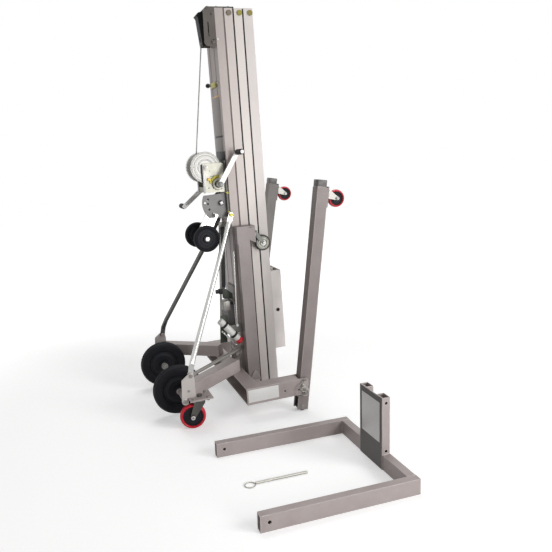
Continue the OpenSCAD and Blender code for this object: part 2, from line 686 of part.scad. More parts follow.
module loading_arm() color("#c9bfb4") machine() {
    for (y = [-load_arm_y - 5, load_arm_y]) across(y, y + 5) load_link();
    rod(load_x, load_z, load_axle_r, -load_axle_half, load_axle_half);
    rod(load_x, load_z, 13, -load_arm_y, load_arm_y);
    for (s = [0, 1]) mirror([0, s, 0]) {
        rod(load_x, load_z, 12, load_y + load_wheel_w / 2 + gap, load_axle_half);
        rod(load_x, load_z, 12, load_arm_y + 5, load_y - load_wheel_w / 2 - gap);
    }
}
module loading_wheel(s) color("#1d1e22") side(s) translate([load_x, load_y, load_z])
    wheel(load_wheel_r, load_wheel_w, load_axle_r + fit, 20, load_wheel_w);
module loading_pin() color("silver") side(RIGHT) {
    px = quad_x + stop_r * cos(load_dir);
    pz = quad_z + stop_r * sin(load_dir);
    rod(px, pz, stop_pin_r, quad_y, quad_y + 22);
    rod(px, pz, 9, quad_y + quad_t + gap, quad_y + quad_t + 6);
    rod(px, pz, 8, quad_y + 20, quad_y + 34);
}

// Document tube with straps, its cap, and the dark fittings behind the mast
doc_a = [272, -130, 432];
doc_b = [371, -130, 312];
doc_r = 18;
doc_u = unit(doc_b - doc_a);
module document_tube() color("silver") machine() {
    difference() {
        strut(doc_a, doc_b - doc_u * 3, doc_r);
        strut(doc_a + doc_u * 3, doc_b + doc_u * 2, doc_r - 1.5);
    }
}
module document_cap() color("#c8161d") machine() difference() {
    strut(doc_b - doc_u * 14, doc_b + doc_u * 6, doc_r + 2);
    strut(doc_b - doc_u * 15, doc_b + doc_u * 2, doc_r + 0.2);
}
module strap(at) difference() {
    strut(doc_a + doc_u * at, doc_a + doc_u * (at + 12), doc_r + 3);
    strut(doc_a + doc_u * (at - 1), doc_a + doc_u * (at + 13), doc_r);
}
module mast_rear_fittings() color(dark) machine() {
    for (at = [28, 104]) strap(at);
    box(300, mast_x + 8, -108, -100, 350, 392);
    box(mast_x - 34, mast_x, -60, 60, 492, 506);
    box(mast_x - 8, mast_x, -60, 60, 506, 590);
}

// Leg: folded tube with its end cap, roller, lock pin and caster, drawn along its own length
module leg_frame(s) side(s) translate([pivot_x, leg_y, pivot_z])
    rotate([0, s == RIGHT ? leg_lean_right : leg_lean_left, 0]) children();
function roller_s(s) = (up(pivot_x, pivot_z) - roller_r)
    / cos((s == RIGHT ? leg_lean_right : leg_lean_left) - lean);
leg_caster_s = leg_wheel_s + 19;
leg_plate_t = 6;
leg_stem_r = 6;
leg_half = leg_tube / 2;
leg_bore = leg_half - tube_wall;
leg_side = half_tube + leg_play;
module leg(s) color(paint) leg_frame(s) {
    difference() {
        box(-leg_half, leg_half, -leg_half, leg_half, -leg_down, leg_up);
        box(-leg_bore, leg_bore, -leg_bore, leg_bore, -leg_down - 1, leg_up + 1);
        box(-leg_half - 1, 0, -leg_bore + 3, leg_bore - 3, -leg_down - 1, 10);
        rod(0, 0, pivot_r + fit, -50, 50);
        translate([0, 0, leg_caster_s]) rotate([0, 90, 0]) cylinder(r = leg_stem_r + 6, h = 50);
    }
    difference() {
        rod(0, 0, pivot_r + 5, -leg_side + 2 * gap, leg_side - 2 * gap);
        rod(0, 0, pivot_r + fit, -50, 50);
    }
    rod(0, -roller_s(s), 6, -leg_half, leg_half);
    difference() {
        box(leg_half, leg_half + leg_plate_t, -leg_half + 1, leg_half - 1, leg_caster_s - 66, leg_caster_s + 34);
        translate([0, 0, leg_caster_s]) rotate([0, 90, 0]) cylinder(r = leg_stem_r + fit, h = 50);
    }
    box(-leg_half + 2, leg_half - 9, -leg_half + 2, leg_half - 2, leg_up, leg_up + leg_cap_h);
}
module leg_roller(s) color(dark) leg_frame(s) translate([0, 0, -roller_s(s)]) rotate([90, 0, 0]) difference() {
    translate([0, 0, -20]) cylinder(r = roller_r, h = 40);
    translate([0, 0, -25]) cylinder(r = 6 + fit, h = 50);
}
module leg_lock_pin(s) color("silver") side(s) {
    rod(lock_x, lock_z, lock_r, wall_out, wall_out + lock_pin_l);
    rod(lock_x, lock_z, lock_r + 4, wall_out + member_wall + gap, wall_out + member_wall + 8);
    translate([lock_x, wall_out + 20, lock_z - 14]) rotate([90, 0, 0]) rotate_extrude() translate([14, 0]) circle(r = 1.6);
}
module leg_caster_fork(s) color("#8a8a8c") leg_frame(s) {
    base = leg_half + leg_plate_t;
    race_h = 5;
    difference() {
        union() {
            for (y = [-19, 16]) across(y, y + 3) hull() {
                translate([leg_wheel_out, leg_wheel_s]) circle(r = 9);
                rect(base + race_h, base + race_h + 3, leg_caster_s - 24, leg_caster_s + 20);
            }
            box(base + race_h, base + race_h + 3, -19, 19, leg_caster_s - 24, leg_caster_s + 20);
        }
        rod(leg_wheel_out, leg_wheel_s, 5, -30, 30);
    }
    translate([base + gap, 0, leg_caster_s]) rotate([0, 90, 0]) cylinder(r = 22, h = race_h - gap);
    translate([base - leg_plate_t - 3, 0, leg_caster_s]) rotate([0, 90, 0]) cylinder(r = leg_stem_r, h = 12);
    translate([base - leg_plate_t - 7, 0, leg_caster_s]) rotate([0, 90, 0]) cylinder(r = leg_stem_r + 5, h = 7 - gap);
    rod(leg_wheel_out, leg_wheel_s, 5, -23, 23);
    for (y = [-26, 19]) rod(leg_wheel_out, leg_wheel_s, 8, y, y + 7);
}
module leg_caster_wheel(s) color("#c41e25") leg_frame(s) translate([leg_wheel_out, 0, leg_wheel_s])
    wheel(leg_wheel_r, 28, 5 + fit, 12, 30);

// Stabiliser stored upright on its peg, with a caster on its head bracket
head_z0 = 828;
head_z1 = 905;
back_t = 4;
stab_caster_x = 484;
stab_caster_z = 868;
stab_wheel = [535, 133, 817];
module stabiliser(s) color("#cfc8c2") side(s) {
    difference() {
        box(stab_x0, stab_x1, stab_y0, stab_y1, stab_z0, head_z1);
        box(stab_x0 + tube_wall, stab_x1 - tube_wall, stab_y0 + tube_wall, stab_y1 - tube_wall,
            stab_z0 - 1, head_z1 - 4);
    }
    for (y = [stab_y0, stab_y1 - 4]) across(y, y + 4) polygon([[stab_x1, head_z0 + 14], [stab_caster_x, head_z0],
        [stab_caster_x, head_z1 + 3], [stab_x1, head_z1]]);
    difference() {
        box(stab_caster_x, stab_caster_x + 6, stab_y0, stab_y1, head_z0, head_z1 + 3);
        translate([stab_caster_x - 1, stab_wheel[1], stab_caster_z]) rotate([0, 90, 0]) cylinder(r = 6 + fit, h = 10);
    }
    box(stab_x0 - back_t, stab_caster_x + 6, stab_y0, stab_y1, head_z1 + 3, head_z1 + 9);
    box(stab_x0 - back_t, stab_x0, stab_y0, stab_y1, head_z0, head_z1 + 3);
    box(stab_x0, stab_x1, stab_y0, stab_y1, head_z1, head_z1 + 3);
}
module stabiliser_caster(s) color("#8a8a8c") side(s) {
    face = stab_caster_x + 6;
    for (y = [-17, 14]) across(stab_wheel[1] + y, stab_wheel[1] + y + 3) hull() {
        translate([stab_wheel[0], stab_wheel[2]]) circle(r = 8);
        rect(face + 9, face + 12, stab_caster_z - 20, stab_caster_z + 18);
    }
    box(face + 8, face + 11, stab_wheel[1] - 16, stab_wheel[1] + 16, stab_caster_z - 19, stab_caster_z + 17);
    translate([face + gap, stab_wheel[1], stab_caster_z]) rotate([0, 90, 0]) cylinder(r = 17, h = 8.5 - gap);
    translate([face - 9, stab_wheel[1], stab_caster_z]) rotate([0, 90, 0]) cylinder(r = 6, h = 14);
    translate([face - 6 - 8, stab_wheel[1], stab_caster_z]) rotate([0, 90, 0]) cylinder(r = 11, h = 8 - gap);
    rod(stab_wheel[0], stab_wheel[2], 5, stab_wheel[1] - 21, stab_wheel[1] + 21);
    for (y = [-23, 16]) rod(stab_wheel[0], stab_wheel[2], 6.5, stab_wheel[1] + y, stab_wheel[1] + y + 7);
}
module stabiliser_wheel(s) color("#e2dfda") side(s) translate(stab_wheel)
    wheel(stab_wheel_r, 24, 5 + fit, 11, 26);

// Fork frame on the floor: two arms, a cross bar, the bracket plate and two sockets
fork_x1 = fork_x0 + fork_len;
fork_mid = fork_y0 + fork_w / 2;
bar_x0 = fork_x1 - 38;
bracket_t = 4;
socket_w = 50;
socket_d = 33;
pin_hole_x = bar_x0 + 16;
pin_hole_z = [78, 285];
module fork_arm() difference() {
    box(fork_x0, fork_x1, 0, fork_arm_w, 0, tube);
    box(fork_x0 - 1, fork_x1 - 4, 4, fork_arm_w - 4, tube_wall, tube - tube_wall);
    rod(fork_x0 + 34, 34, 7, -1, fork_arm_w + 1);
}
module fork_frame() color("#aaa09c") on_floor() {
    translate([0, fork_y0, 0]) fork_arm();
    translate([0, fork_y0 + fork_w - fork_arm_w, 0]) fork_arm();
    difference() {
        box(bar_x0, bar_x0 + 36, fork_y0 + fork_arm_w, fork_y0 + fork_w - fork_arm_w, 0, tube);
        box(bar_x0 + 4, bar_x0 + 32, fork_y0 + fork_arm_w, fork_y0 + fork_w - fork_arm_w, 4, tube - 4);
    }
    box(bar_x0 - bracket_t, bar_x0, fork_mid - bracket_w / 2, fork_mid + bracket_w / 2, 0, bracket_h);
    for (y = [fork_mid - bracket_w / 2, fork_mid + bracket_w / 2 - socket_w]) difference() {
        box(bar_x0, bar_x0 + socket_d, y, y + socket_w, tube, bracket_h);
        box(bar_x0 + 3, bar_x0 + socket_d - 3, y + 3, y + socket_w - 3, tube + 3, bracket_h + 1);
        for (z = pin_hole_z) rod(pin_hole_x, z, fork_pin_r - 4, y - 1, y + socket_w + 1);
    }
}
module fork_pin() color("silver") on_floor() translate([122, -1010, 6]) {
    translate([23, 0, 0]) rotate([0, 90, 0]) cylinder(r = 5.7, h = 221);
    translate([0, 0, -3.5]) rotate_extrude() translate([21, 0]) circle(r = 2.5);
}

cross_channel();
side_member(RIGHT);  // side_member_right
side_member(LEFT);  // side_member_left
rear_arm(RIGHT);  // rear_arm_right
rear_arm(LEFT);  // rear_arm_left
corner_bracket(RIGHT);  // corner_bracket_right
corner_bracket(LEFT);  // corner_bracket_left
mast_brace(RIGHT);  // mast_brace_right
mast_brace(LEFT);  // mast_brace_left
stay_bar();
column_1();
column_2();
column_3();
column_4();
column_2_cap();
carriage();
head_housing();
head_pulley();
lift_cable();
winch_frame();
winch_drum();
winch_crankshaft();
crank_right();
crank_left();
crank_grip_right();
crank_grip_left();
wheel_quadrant();
loading_arm();
loading_wheel(RIGHT);  // loading_wheel_right
loading_wheel(LEFT);  // loading_wheel_left
loading_pin();
document_tube();
document_cap();
mast_rear_fittings();
leg(RIGHT);  // leg_right
leg(LEFT);  // leg_left
leg_caster_fork(RIGHT);  // leg_caster_fork_right
leg_caster_fork(LEFT);  // leg_caster_fork_left
leg_caster_wheel(RIGHT);  // leg_caster_wheel_right
leg_caster_wheel(LEFT);  // leg_caster_wheel_left
leg_roller(RIGHT);  // leg_roller_right
leg_roller(LEFT);  // leg_roller_left
leg_lock_pin(RIGHT);  // leg_lock_pin_right
leg_lock_pin(LEFT);  // leg_lock_pin_left
big_wheel(RIGHT);  // big_wheel_right
big_wheel(LEFT);  // big_wheel_left
rear_caster_fork(RIGHT);  // rear_caster_fork_right
rear_caster_fork(LEFT);  // rear_caster_fork_left
rear_caster_wheel(RIGHT);  // rear_caster_wheel_right
rear_caster_wheel(LEFT);  // rear_caster_wheel_left
stabiliser(RIGHT);  // stabiliser_right
stabiliser(LEFT);  // stabiliser_left
stabiliser_caster(RIGHT);  // stabiliser_caster_right
stabiliser_caster(LEFT);  // stabiliser_caster_left
stabiliser_wheel(RIGHT);  // stabiliser_wheel_right
stabiliser_wheel(LEFT);  // stabiliser_wheel_left
fork_frame();
fork_pin();
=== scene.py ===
"""Dresses the stowed material hoist: camera, light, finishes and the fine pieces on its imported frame."""
from __future__ import annotations

import json
import logging
import math
from dataclasses import dataclass, field, replace
from enum import Enum

import bmesh
import bpy
import numpy as np
from mathutils import Matrix

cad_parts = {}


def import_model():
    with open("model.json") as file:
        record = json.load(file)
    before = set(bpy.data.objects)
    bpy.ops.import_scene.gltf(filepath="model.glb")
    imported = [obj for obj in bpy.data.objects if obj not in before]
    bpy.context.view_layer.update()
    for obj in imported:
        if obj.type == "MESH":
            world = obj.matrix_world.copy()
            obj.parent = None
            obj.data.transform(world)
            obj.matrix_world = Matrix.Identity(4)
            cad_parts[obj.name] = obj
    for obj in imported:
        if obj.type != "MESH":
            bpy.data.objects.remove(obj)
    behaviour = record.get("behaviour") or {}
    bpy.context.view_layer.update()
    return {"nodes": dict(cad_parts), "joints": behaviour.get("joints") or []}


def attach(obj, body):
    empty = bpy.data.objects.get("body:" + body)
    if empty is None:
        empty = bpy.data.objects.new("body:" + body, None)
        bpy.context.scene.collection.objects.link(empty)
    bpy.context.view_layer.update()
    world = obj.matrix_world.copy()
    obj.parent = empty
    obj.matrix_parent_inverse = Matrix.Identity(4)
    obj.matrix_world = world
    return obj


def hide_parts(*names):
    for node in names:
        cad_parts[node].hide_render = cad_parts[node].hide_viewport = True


LOG = logging.getLogger("hoist")
MM = 0.001
# Degrees: the machine's lean, and from which angle an edge is shaded hard or can be rounded
LEAN = 2.2
CREASE = 35.0
SHARP = 40.0
# Shading: samples of a rounded edge, depth of the grain in metres, ranges of the noise and of the turned normal
EDGE_SAMPLES = 4
GRAIN_DEPTH = 0.0005
PATCH_SHARE = (0.35, 0.65)
WORN_SHARE = (0.3, 0.6)
WORN_TURN = (0.995, 0.90)
WHITE = (1.0, 1.0, 1.0, 1.0)
# Shapes: steps along a weld bead, and the radius to which a solid turned form runs in at its axis
BEAD_STEPS = 60
CORE = 0.05
Vec = tuple[float, float, float]
Profile = list[tuple[float, float]]
Tree = bpy.types.NodeTree
Socket = bpy.types.NodeSocket
ALONG, ACROSS, UP, NEAR = (1, 0, 0), (0, 1, 0), (0, 0, 1), (0, -1, 0)
BOTH = (-1, 1)


class Side(Enum):
    """The two sides of the machine, by the sign of Y."""

    RIGHT = -1
    LEFT = 1

    @property
    def word(self) -> str:
        """The side's name as the nodes spell it."""
        return self.name.lower()


@dataclass(frozen=True)
class Placement:
    """Turns places on the leaned machine, in millimetres, into the frame's metres."""

    origin: tuple[float, float]
    lean: float = LEAN

    @classmethod
    def from_joints(cls, joints: list[dict]) -> "Placement":
        """Works the origin out from the axle of the right big wheel among the frame's joints."""
        axle = next(j for j in joints if j["name"] == "big_wheel_right_spin")["pos_m"]
        x, y, z = BIG_AXLE
        c, s = math.cos(math.radians(LEAN)), math.sin(math.radians(LEAN))
        return cls((axle[0] - (x * c - z * s) * MM, axle[1] + y * MM))

    def machine(self, points: np.ndarray) -> np.ndarray:
        """Leans points of the machine's own frame and moves them to the shared frame.

        Args:
            points: array of shape (n, 3), millimetres.

        Returns:
            Array of shape (n, 3), metres.
        """
        c, s = math.cos(math.radians(self.lean)), math.sin(math.radians(self.lean))
        p = np.asarray(points, float).reshape(-1, 3)
        out = np.stack([p[:, 0] * c - p[:, 2] * s, p[:, 1], p[:, 0] * s + p[:, 2] * c], 1) * MM
        return out + (*self.origin, 0.0)

    def floor(self, points: np.ndarray) -> np.ndarray:
        """Moves points that lie square on the floor to the shared frame."""
        return np.asarray(points, float).reshape(-1, 3) * MM + (*self.origin, 0.0)


def wire(tree: Tree, target: bpy.types.Node, inputs: dict) -> None:
    """Sets each input of a node, by its name or number, to a value or links it to a socket."""
    for key, value in inputs.items():
        if isinstance(value, Socket):
            tree.links.new(value, target.inputs[key])
        else:
            target.inputs[key].default_value = value


def node(tree: Tree, kind: str, inputs: dict | None = None, **settings: object) -> bpy.types.Node:
    """Adds a shader node.

    Args:
        tree: node tree of the material or of the world.
        kind: the node's type, without its first part.
        inputs: values and sockets for its inputs.
        settings: its own properties, which are set first.

    Returns:
        The node.
    """
    made = tree.nodes.new(f"ShaderNode{kind}")
    for key, value in settings.items():
        setattr(made, key, value)
    wire(tree, made, inputs or {})
    return made


def maths(tree: Tree, operation: str, *values: float | Socket) -> Socket:
    """Works a sum out from numbers and sockets."""
    return node(tree, "Math", dict(enumerate(values)), operation=operation).outputs["Value"]


def stretch(tree: Tree, value: Socket, low: float, high: float) -> Socket:
    """Stretches the values from low to high over 0 to 1."""
    return node(tree, "MapRange", {"From Min": low, "From Max": high, "Value": value}).outputs["Result"]


@dataclass(frozen=True)
class Zone:
    """A box of the machine with a colour of its own: some boxes hold another material's colour, some are painted shade.

    Attributes:
        low: lowest corner, in the machine's millimetres.
        high: highest corner.
        colour: colour inside the box.
        leaned: False for a box that lies square on the floor.
    """

    low: Vec
    high: Vec
    colour: Vec
    leaned: bool = True

    def mask(self, tree: Tree, place: Placement) -> Socket:
        """Adds the test of the box: the largest of |p - middle| - half over the three axes is below 0.

        Args:
            tree: node tree of the material.
            place: where the machine stands.

        Returns:
            1 inside the box and 0 outside.
        """
        tip = -math.radians(place.lean) if self.leaned else 0.0
        vector = node(tree, "Mapping", {"Vector": node(tree, "TexCoord").outputs["Object"],
                                        "Location": (*place.origin, 0.0), "Rotation": (0.0, tip, 0.0),
                                        "Scale": (MM, MM, MM)}, vector_type="TEXTURE").outputs["Vector"]
        low, high = np.array(self.low, float), np.array(self.high, float)
        for operation, value in (("SUBTRACT", (low + high) / 2), ("ABSOLUTE", None), ("SUBTRACT", (high - low) / 2)):
            inputs = {0: vector} if value is None else {0: vector, 1: tuple(value)}
            vector = node(tree, "VectorMath", inputs, operation=operation).outputs["Vector"]
        parts = node(tree, "SeparateXYZ", {"Vector": vector}).outputs
        largest = maths(tree, "MAXIMUM", maths(tree, "MAXIMUM", parts["X"], parts["Y"]), parts["Z"])
        return maths(tree, "LESS_THAN", largest, 0.0)


@dataclass(frozen=True)
class Finish:
    """One procedural finish: colour with soft variation, grain, worn edges, rounded edges and boxes of other colour,
    some of them painted shade.

    Attributes:
        name: material name.
        colour: base colour, linear.
        second: colour that the variation goes towards.
        metal: metallic share.
        rough: roughness.
        spread: how far roughness varies.
        patch: size of the colour patches, in patches a metre.
        grain: grain scale along X, Y and Z, in grains a metre.
        bump: depth of the grain's bump, 0 to 1.
        edge: radius of the rounded edges in metres, 0 for none.
        worn: colour of worn edges, or None.
        zones: boxes of the machine that have their own colour, some of them painted shade.
        gloss: level of the plain reflection, 0.5 for paint.
    """

    name: str
    colour: Vec
    second: Vec
    metal: float = 0.0
    rough: float = 0.5
    spread: float = 0.1
    patch: float = 9.0
    grain: Vec = (400.0, 400.0, 400.0)
    bump: float = 0.05
    edge: float = 0.0012
    worn: Vec | None = None
    zones: tuple[Zone, ...] = ()
    gloss: float = 0.5

    def material(self, where: Placement) -> bpy.types.Material:
        """Builds the finish's node tree once and returns its material.

        Args:
            where: where the machine stands, for the zones.

        Returns:
            The material.
        """
        title = f"finish_{self.name}"
        if title in bpy.data.materials:
            return bpy.data.materials[title]
        mat = bpy.data.materials.new(title)
        mat.use_nodes = True
        tree = mat.node_tree
        place = node(tree, "TexCoord").outputs["Object"]
        patches = self._noise(tree, place, (self.patch,) * 3, 4.0)
        grains = self._noise(tree, place, self.grain, 2.0)
        colour = self._mix(tree, stretch(tree, patches, *PATCH_SHARE), self.colour, self.second)
        for zone in self.zones:
            colour = self._mix(tree, zone.mask(tree, where), colour, zone.colour)
        if self.worn:
            colour = self._mix(tree, self._edge_mask(tree, patches), colour, self.worn)
        rough = node(tree, "MapRange", {"To Min": max(0.02, self.rough - self.spread),
                                        "To Max": min(1.0, self.rough + self.spread), "Value": grains})
        wire(tree, tree.nodes["Principled BSDF"], {
            "Metallic": self.metal, "Specular IOR Level": self.gloss, "Base Color": colour,
            "Roughness": rough.outputs["Result"], "Normal": self._relief(tree, grains)})
        return mat

    @staticmethod
    def _noise(tree: Tree, place: Socket, scale: Vec, detail: float) -> Socket:
        """Adds a noise whose cells are 1/scale metres along each axis and returns its value."""
        spot = node(tree, "Mapping", {"Scale": scale, "Vector": place}).outputs["Vector"]
        return node(tree, "TexNoise", {"Scale": 1.0, "Detail": detail, "Vector": spot}).outputs["Fac"]

    @staticmethod
    def _mix(tree: Tree, share: Socket, a: Vec | Socket, b: Vec) -> Socket:
        """Mixes two colours by a share; the first may be a socket."""
        first = (*a, 1.0) if isinstance(a, tuple) else a
        return node(tree, "Mix", {"Factor": share, "A": first, "B": (*b, 1.0)}, data_type="RGBA").outputs["Result"]

    @staticmethod
    def _rounded(tree: Tree, radius: float) -> Socket:
        """The normal with its sharp edges rounded by a radius."""
        return node(tree, "Bevel", {"Radius": radius}, samples=EDGE_SAMPLES).outputs["Normal"]

    def _edge_mask(self, tree: Tree, patches: Socket) -> Socket:
        """Where the rounded normal turns away from the true one, broken up by the patches."""
        normals = {0: self._rounded(tree, self.edge * 2.0), 1: node(tree, "NewGeometry").outputs["Normal"]}
        dot = node(tree, "VectorMath", normals, operation="DOT_PRODUCT").outputs["Value"]
        return maths(tree, "MULTIPLY", stretch(tree, dot, *WORN_TURN), stretch(tree, patches, *WORN_SHARE))

    def _relief(self, tree: Tree, grains: Socket) -> Socket:
        """Bumps the grain over a normal whose sharp edges are rounded."""
        inputs = {"Strength": self.bump, "Distance": GRAIN_DEPTH, "Height": grains}
        if self.edge > 0:
            inputs["Normal"] = self._rounded(tree, self.edge)
        return node(tree, "Bump", inputs).outputs["Normal"]


def disc_zones(x: float, colour: Vec) -> tuple[Zone, Zone]:
    """Zones of the two bolt discs near the top of a column."""
    low, high = (x - 13.5, 100.2, 1939), (x + 13.5, 112, 1967)
    return Zone((low[0], -high[1], low[2]), (high[0], -low[1], high[2]), colour), Zone(low, high, colour)


FRAME_PAINT = Finish("frame_paint", (0.396, 0.347, 0.338), (0.356, 0.306, 0.297), metal=0.15, rough=0.44,
                     spread=0.06, bump=0.04, gloss=0.3, edge=0.003, worn=(0.60, 0.56, 0.54),
                     zones=(Zone((-20, -401, 90), (58, -391.6, 300), (0.54, 0.50, 0.475)),
                            Zone((-20, 391.6, 90), (58, 401, 300), (0.54, 0.50, 0.475))))
# The fork's zone paints the bracket plate's rear face dark: partly the dark backing of its label, partly painted shade
# of that rear face.
FORK_PAINT = replace(
    FRAME_PAINT, name="fork_paint", colour=(0.409, 0.358, 0.349), second=(0.367, 0.316, 0.307),
    zones=(Zone((650, -1107, 2), (656.5, -920, 310), (0.10, 0.095, 0.092), leaned=False),))
LEG_PAINT = Finish("leg_paint", (0.255, 0.222, 0.214), (0.224, 0.193, 0.186), metal=0.1, rough=0.4, spread=0.06,
                   bump=0.04, gloss=0.3, edge=0.003, worn=(0.55, 0.51, 0.49))
# A darker copy of the leg paint for the far leg: painted shade.
SHADED_FAR_LEG_PAINT = Finish("far_leg_paint", (0.20, 0.185, 0.175), (0.17, 0.157, 0.148), metal=0.1, rough=0.4,
                       spread=0.06, gloss=0.2)
STAB_PAINT = replace(LEG_PAINT, name="stabiliser_paint", colour=(0.30, 0.262, 0.258), second=(0.262, 0.228, 0.224),
                     edge=0.002, worn=(0.46, 0.42, 0.40))
CHROME = Finish("chromed_tube", (0.60, 0.60, 0.585), (0.50, 0.50, 0.485), metal=0.85, rough=0.24, bump=0.02)
DARK_STEEL = Finish("dark_steel_tube", (0.15, 0.15, 0.145), (0.11, 0.11, 0.107), metal=0.6, rough=0.32, bump=0.04)
SMOOTH = (900.0, 900.0, 6.0)
COLUMN = Finish("column_aluminium", (0.41, 0.36, 0.34), (0.37, 0.325, 0.31), metal=0.2, gloss=0.35, rough=0.42,
                spread=0.08, patch=3.0, grain=SMOOTH, bump=0.06, edge=0.0008)
COLUMN_2 = replace(COLUMN, name="column_2_aluminium", colour=(0.51, 0.46, 0.435), second=(0.47, 0.42, 0.40),
                   zones=disc_zones(458.0, (0.17, 0.135, 0.10)))
COLUMN_3 = replace(COLUMN, name="column_3_aluminium", colour=(0.58, 0.535, 0.505), second=(0.54, 0.495, 0.47),
                   zones=disc_zones(512.0, (0.24, 0.215, 0.035)))
COLUMN_4 = replace(COLUMN, name="column_4_aluminium", colour=(0.55, 0.513, 0.492), second=(0.51, 0.473, 0.456),
                   zones=disc_zones(566.0, (0.20, 0.17, 0.035)))
CARRIAGE = Finish("carriage_aluminium", (0.64, 0.60, 0.58), (0.58, 0.54, 0.525), metal=0.2, rough=0.4,
                  grain=SMOOTH)
REAR_FITTINGS = Finish("rear_fittings", (0.02, 0.02, 0.02), (0.028, 0.028, 0.028), rough=0.5, bump=0.1, gloss=0.2,
                       zones=(Zone((370, -62, 490), (400, 62, 592), (0.30, 0.275, 0.26)),
                              Zone((299, -109, 349), (400, -99, 393), (0.22, 0.215, 0.20))))
DARK = Finish("dark_cover", (0.05, 0.05, 0.052), (0.036, 0.036, 0.038), rough=0.48, bump=0.1, gloss=0.2)
HEAD = Finish("head_paint", (0.150, 0.132, 0.118), (0.118, 0.104, 0.094), rough=0.5, bump=0.08,
              worn=(0.24, 0.22, 0.20), gloss=0.15,
              zones=(Zone((300, -34, 1700), (352, 34, 2100), (0.022, 0.022, 0.023)),))
QUADRANT = Finish("quadrant_paint", (0.22, 0.205, 0.205), (0.17, 0.16, 0.16), rough=0.4, bump=0.1,
                  worn=(0.38, 0.36, 0.35))
GREEN_PLATE = Finish("green_plate", (0.075, 0.085, 0.065), (0.052, 0.06, 0.045), rough=0.45, bump=0.06, gloss=0.3)
BRIGHT = Finish("bright_steel", (0.52, 0.51, 0.47), (0.42, 0.41, 0.37), metal=0.5, rough=0.36, spread=0.08)
DULL = Finish("dull_steel", (0.30, 0.29, 0.27), (0.22, 0.21, 0.195), metal=0.5, rough=0.4, spread=0.08)
WHITE_STEEL = Finish("white_steel", (0.68, 0.675, 0.66), (0.61, 0.605, 0.59), metal=0.2, rough=0.32)
# The winch frame's second zone paints it darker between the side plates behind the drum: painted shade between drum and
# plate.
WINCH = Finish("winch_zinc", (0.50, 0.49, 0.42), (0.40, 0.39, 0.325), metal=0.3, rough=0.36, patch=22.0, edge=0.0008,
               zones=(Zone((373.2, -95, 900), (388, 95, 1260), (0.055, 0.054, 0.048)),
                      Zone((240, -70, 1080), (300, 70, 1300), (0.20, 0.195, 0.15))))
CABLE = Finish("cable_steel", (0.32, 0.32, 0.31), (0.22, 0.22, 0.21), metal=0.8, rough=0.4)
GRIP = Finish("black_grip", (0.014, 0.014, 0.014), (0.02, 0.02, 0.02), rough=0.5, bump=0.2, gloss=0.2)
# Brown-grey of the strip in the first groove between the columns: painted shade of that groove.
BROWN_GROOVE_SHADE = Finish("brown_strip", (0.20, 0.165, 0.155), (0.16, 0.13, 0.12), rough=0.5, bump=0.1, gloss=0.3)
RED_CAP = Finish("red_plastic", (0.55, 0.008, 0.014), (0.48, 0.006, 0.012), rough=0.3, bump=0.02)
TYRE = Finish("black_tyre", (0.007, 0.0075, 0.010), (0.011, 0.0115, 0.015), rough=0.62, spread=0.12,
              patch=30.0, grain=(600.0, 600.0, 600.0), bump=0.25, edge=0.0015, gloss=0.15)
RED_TYRE = Finish("red_tyre", (0.62, 0.005, 0.026), (0.52, 0.004, 0.018), rough=0.34, spread=0.05, bump=0.03)
PALE_WHEEL = Finish("pale_wheel", (0.56, 0.56, 0.48), (0.42, 0.42, 0.35), rough=0.42, patch=40.0)
RIM = Finish("black_rim", (0.009, 0.0095, 0.013), (0.014, 0.015, 0.020), rough=0.5, spread=0.08, bump=0.06, gloss=0.2)
GREY_TYRE = Finish("grey_tyre", (0.035, 0.036, 0.030), (0.05, 0.05, 0.044), rough=0.5, bump=0.1)
DARK_CAP = Finish("leg_cap", (0.12, 0.115, 0.11), (0.09, 0.086, 0.083), rough=0.4, bump=0.08)
PLATE = Finish("bare_plate", (0.74, 0.73, 0.715), (0.70, 0.69, 0.675), rough=0.35, bump=0.02, edge=0.0)
REAR_PLATE = Finish("rear_plate", (0.25, 0.215, 0.20), (0.21, 0.18, 0.165), rough=0.45, bump=0.03, edge=0.0)
TUBE_WHITE = Finish("white_tube", (0.72, 0.715, 0.69), (0.62, 0.615, 0.59), rough=0.36, bump=0.02)
FLANGE = Finish("pressed_flange", (0.58, 0.57, 0.54), (0.53, 0.52, 0.485), metal=0.2, rough=0.34)
YELLOW_ZINC = Finish("yellow_zinc", (0.46, 0.42, 0.06), (0.32, 0.28, 0.035), metal=0.4, rough=0.34)
ORANGE_ZINC = Finish("orange_zinc", (0.62, 0.36, 0.08), (0.55, 0.30, 0.06), metal=0.4, rough=0.35)
STAB_CASTER = Finish("stabiliser_caster_steel", (0.13, 0.13, 0.12), (0.09, 0.09, 0.083), metal=0.5, rough=0.34)
CASTER = Finish("caster_steel", (0.115, 0.11, 0.10), (0.075, 0.072, 0.066), metal=0.4, rough=0.34)
LEG_CASTER_STEEL = Finish("leg_caster_steel", (0.46, 0.45, 0.42), (0.36, 0.35, 0.33), metal=0.4, rough=0.34)


def stand(made: bpy.types.Object, right: np.ndarray, top: np.ndarray, back: np.ndarray, place: Vec) -> None:
    """Links a camera or lamp to the scene, with its three axes and its place in metres."""
    bpy.context.scene.collection.objects.link(made)
    matrix = np.eye(4)
    matrix[:3] = np.stack([right, top, back, place], 1)
    made.matrix_world = Matrix(matrix.tolist())


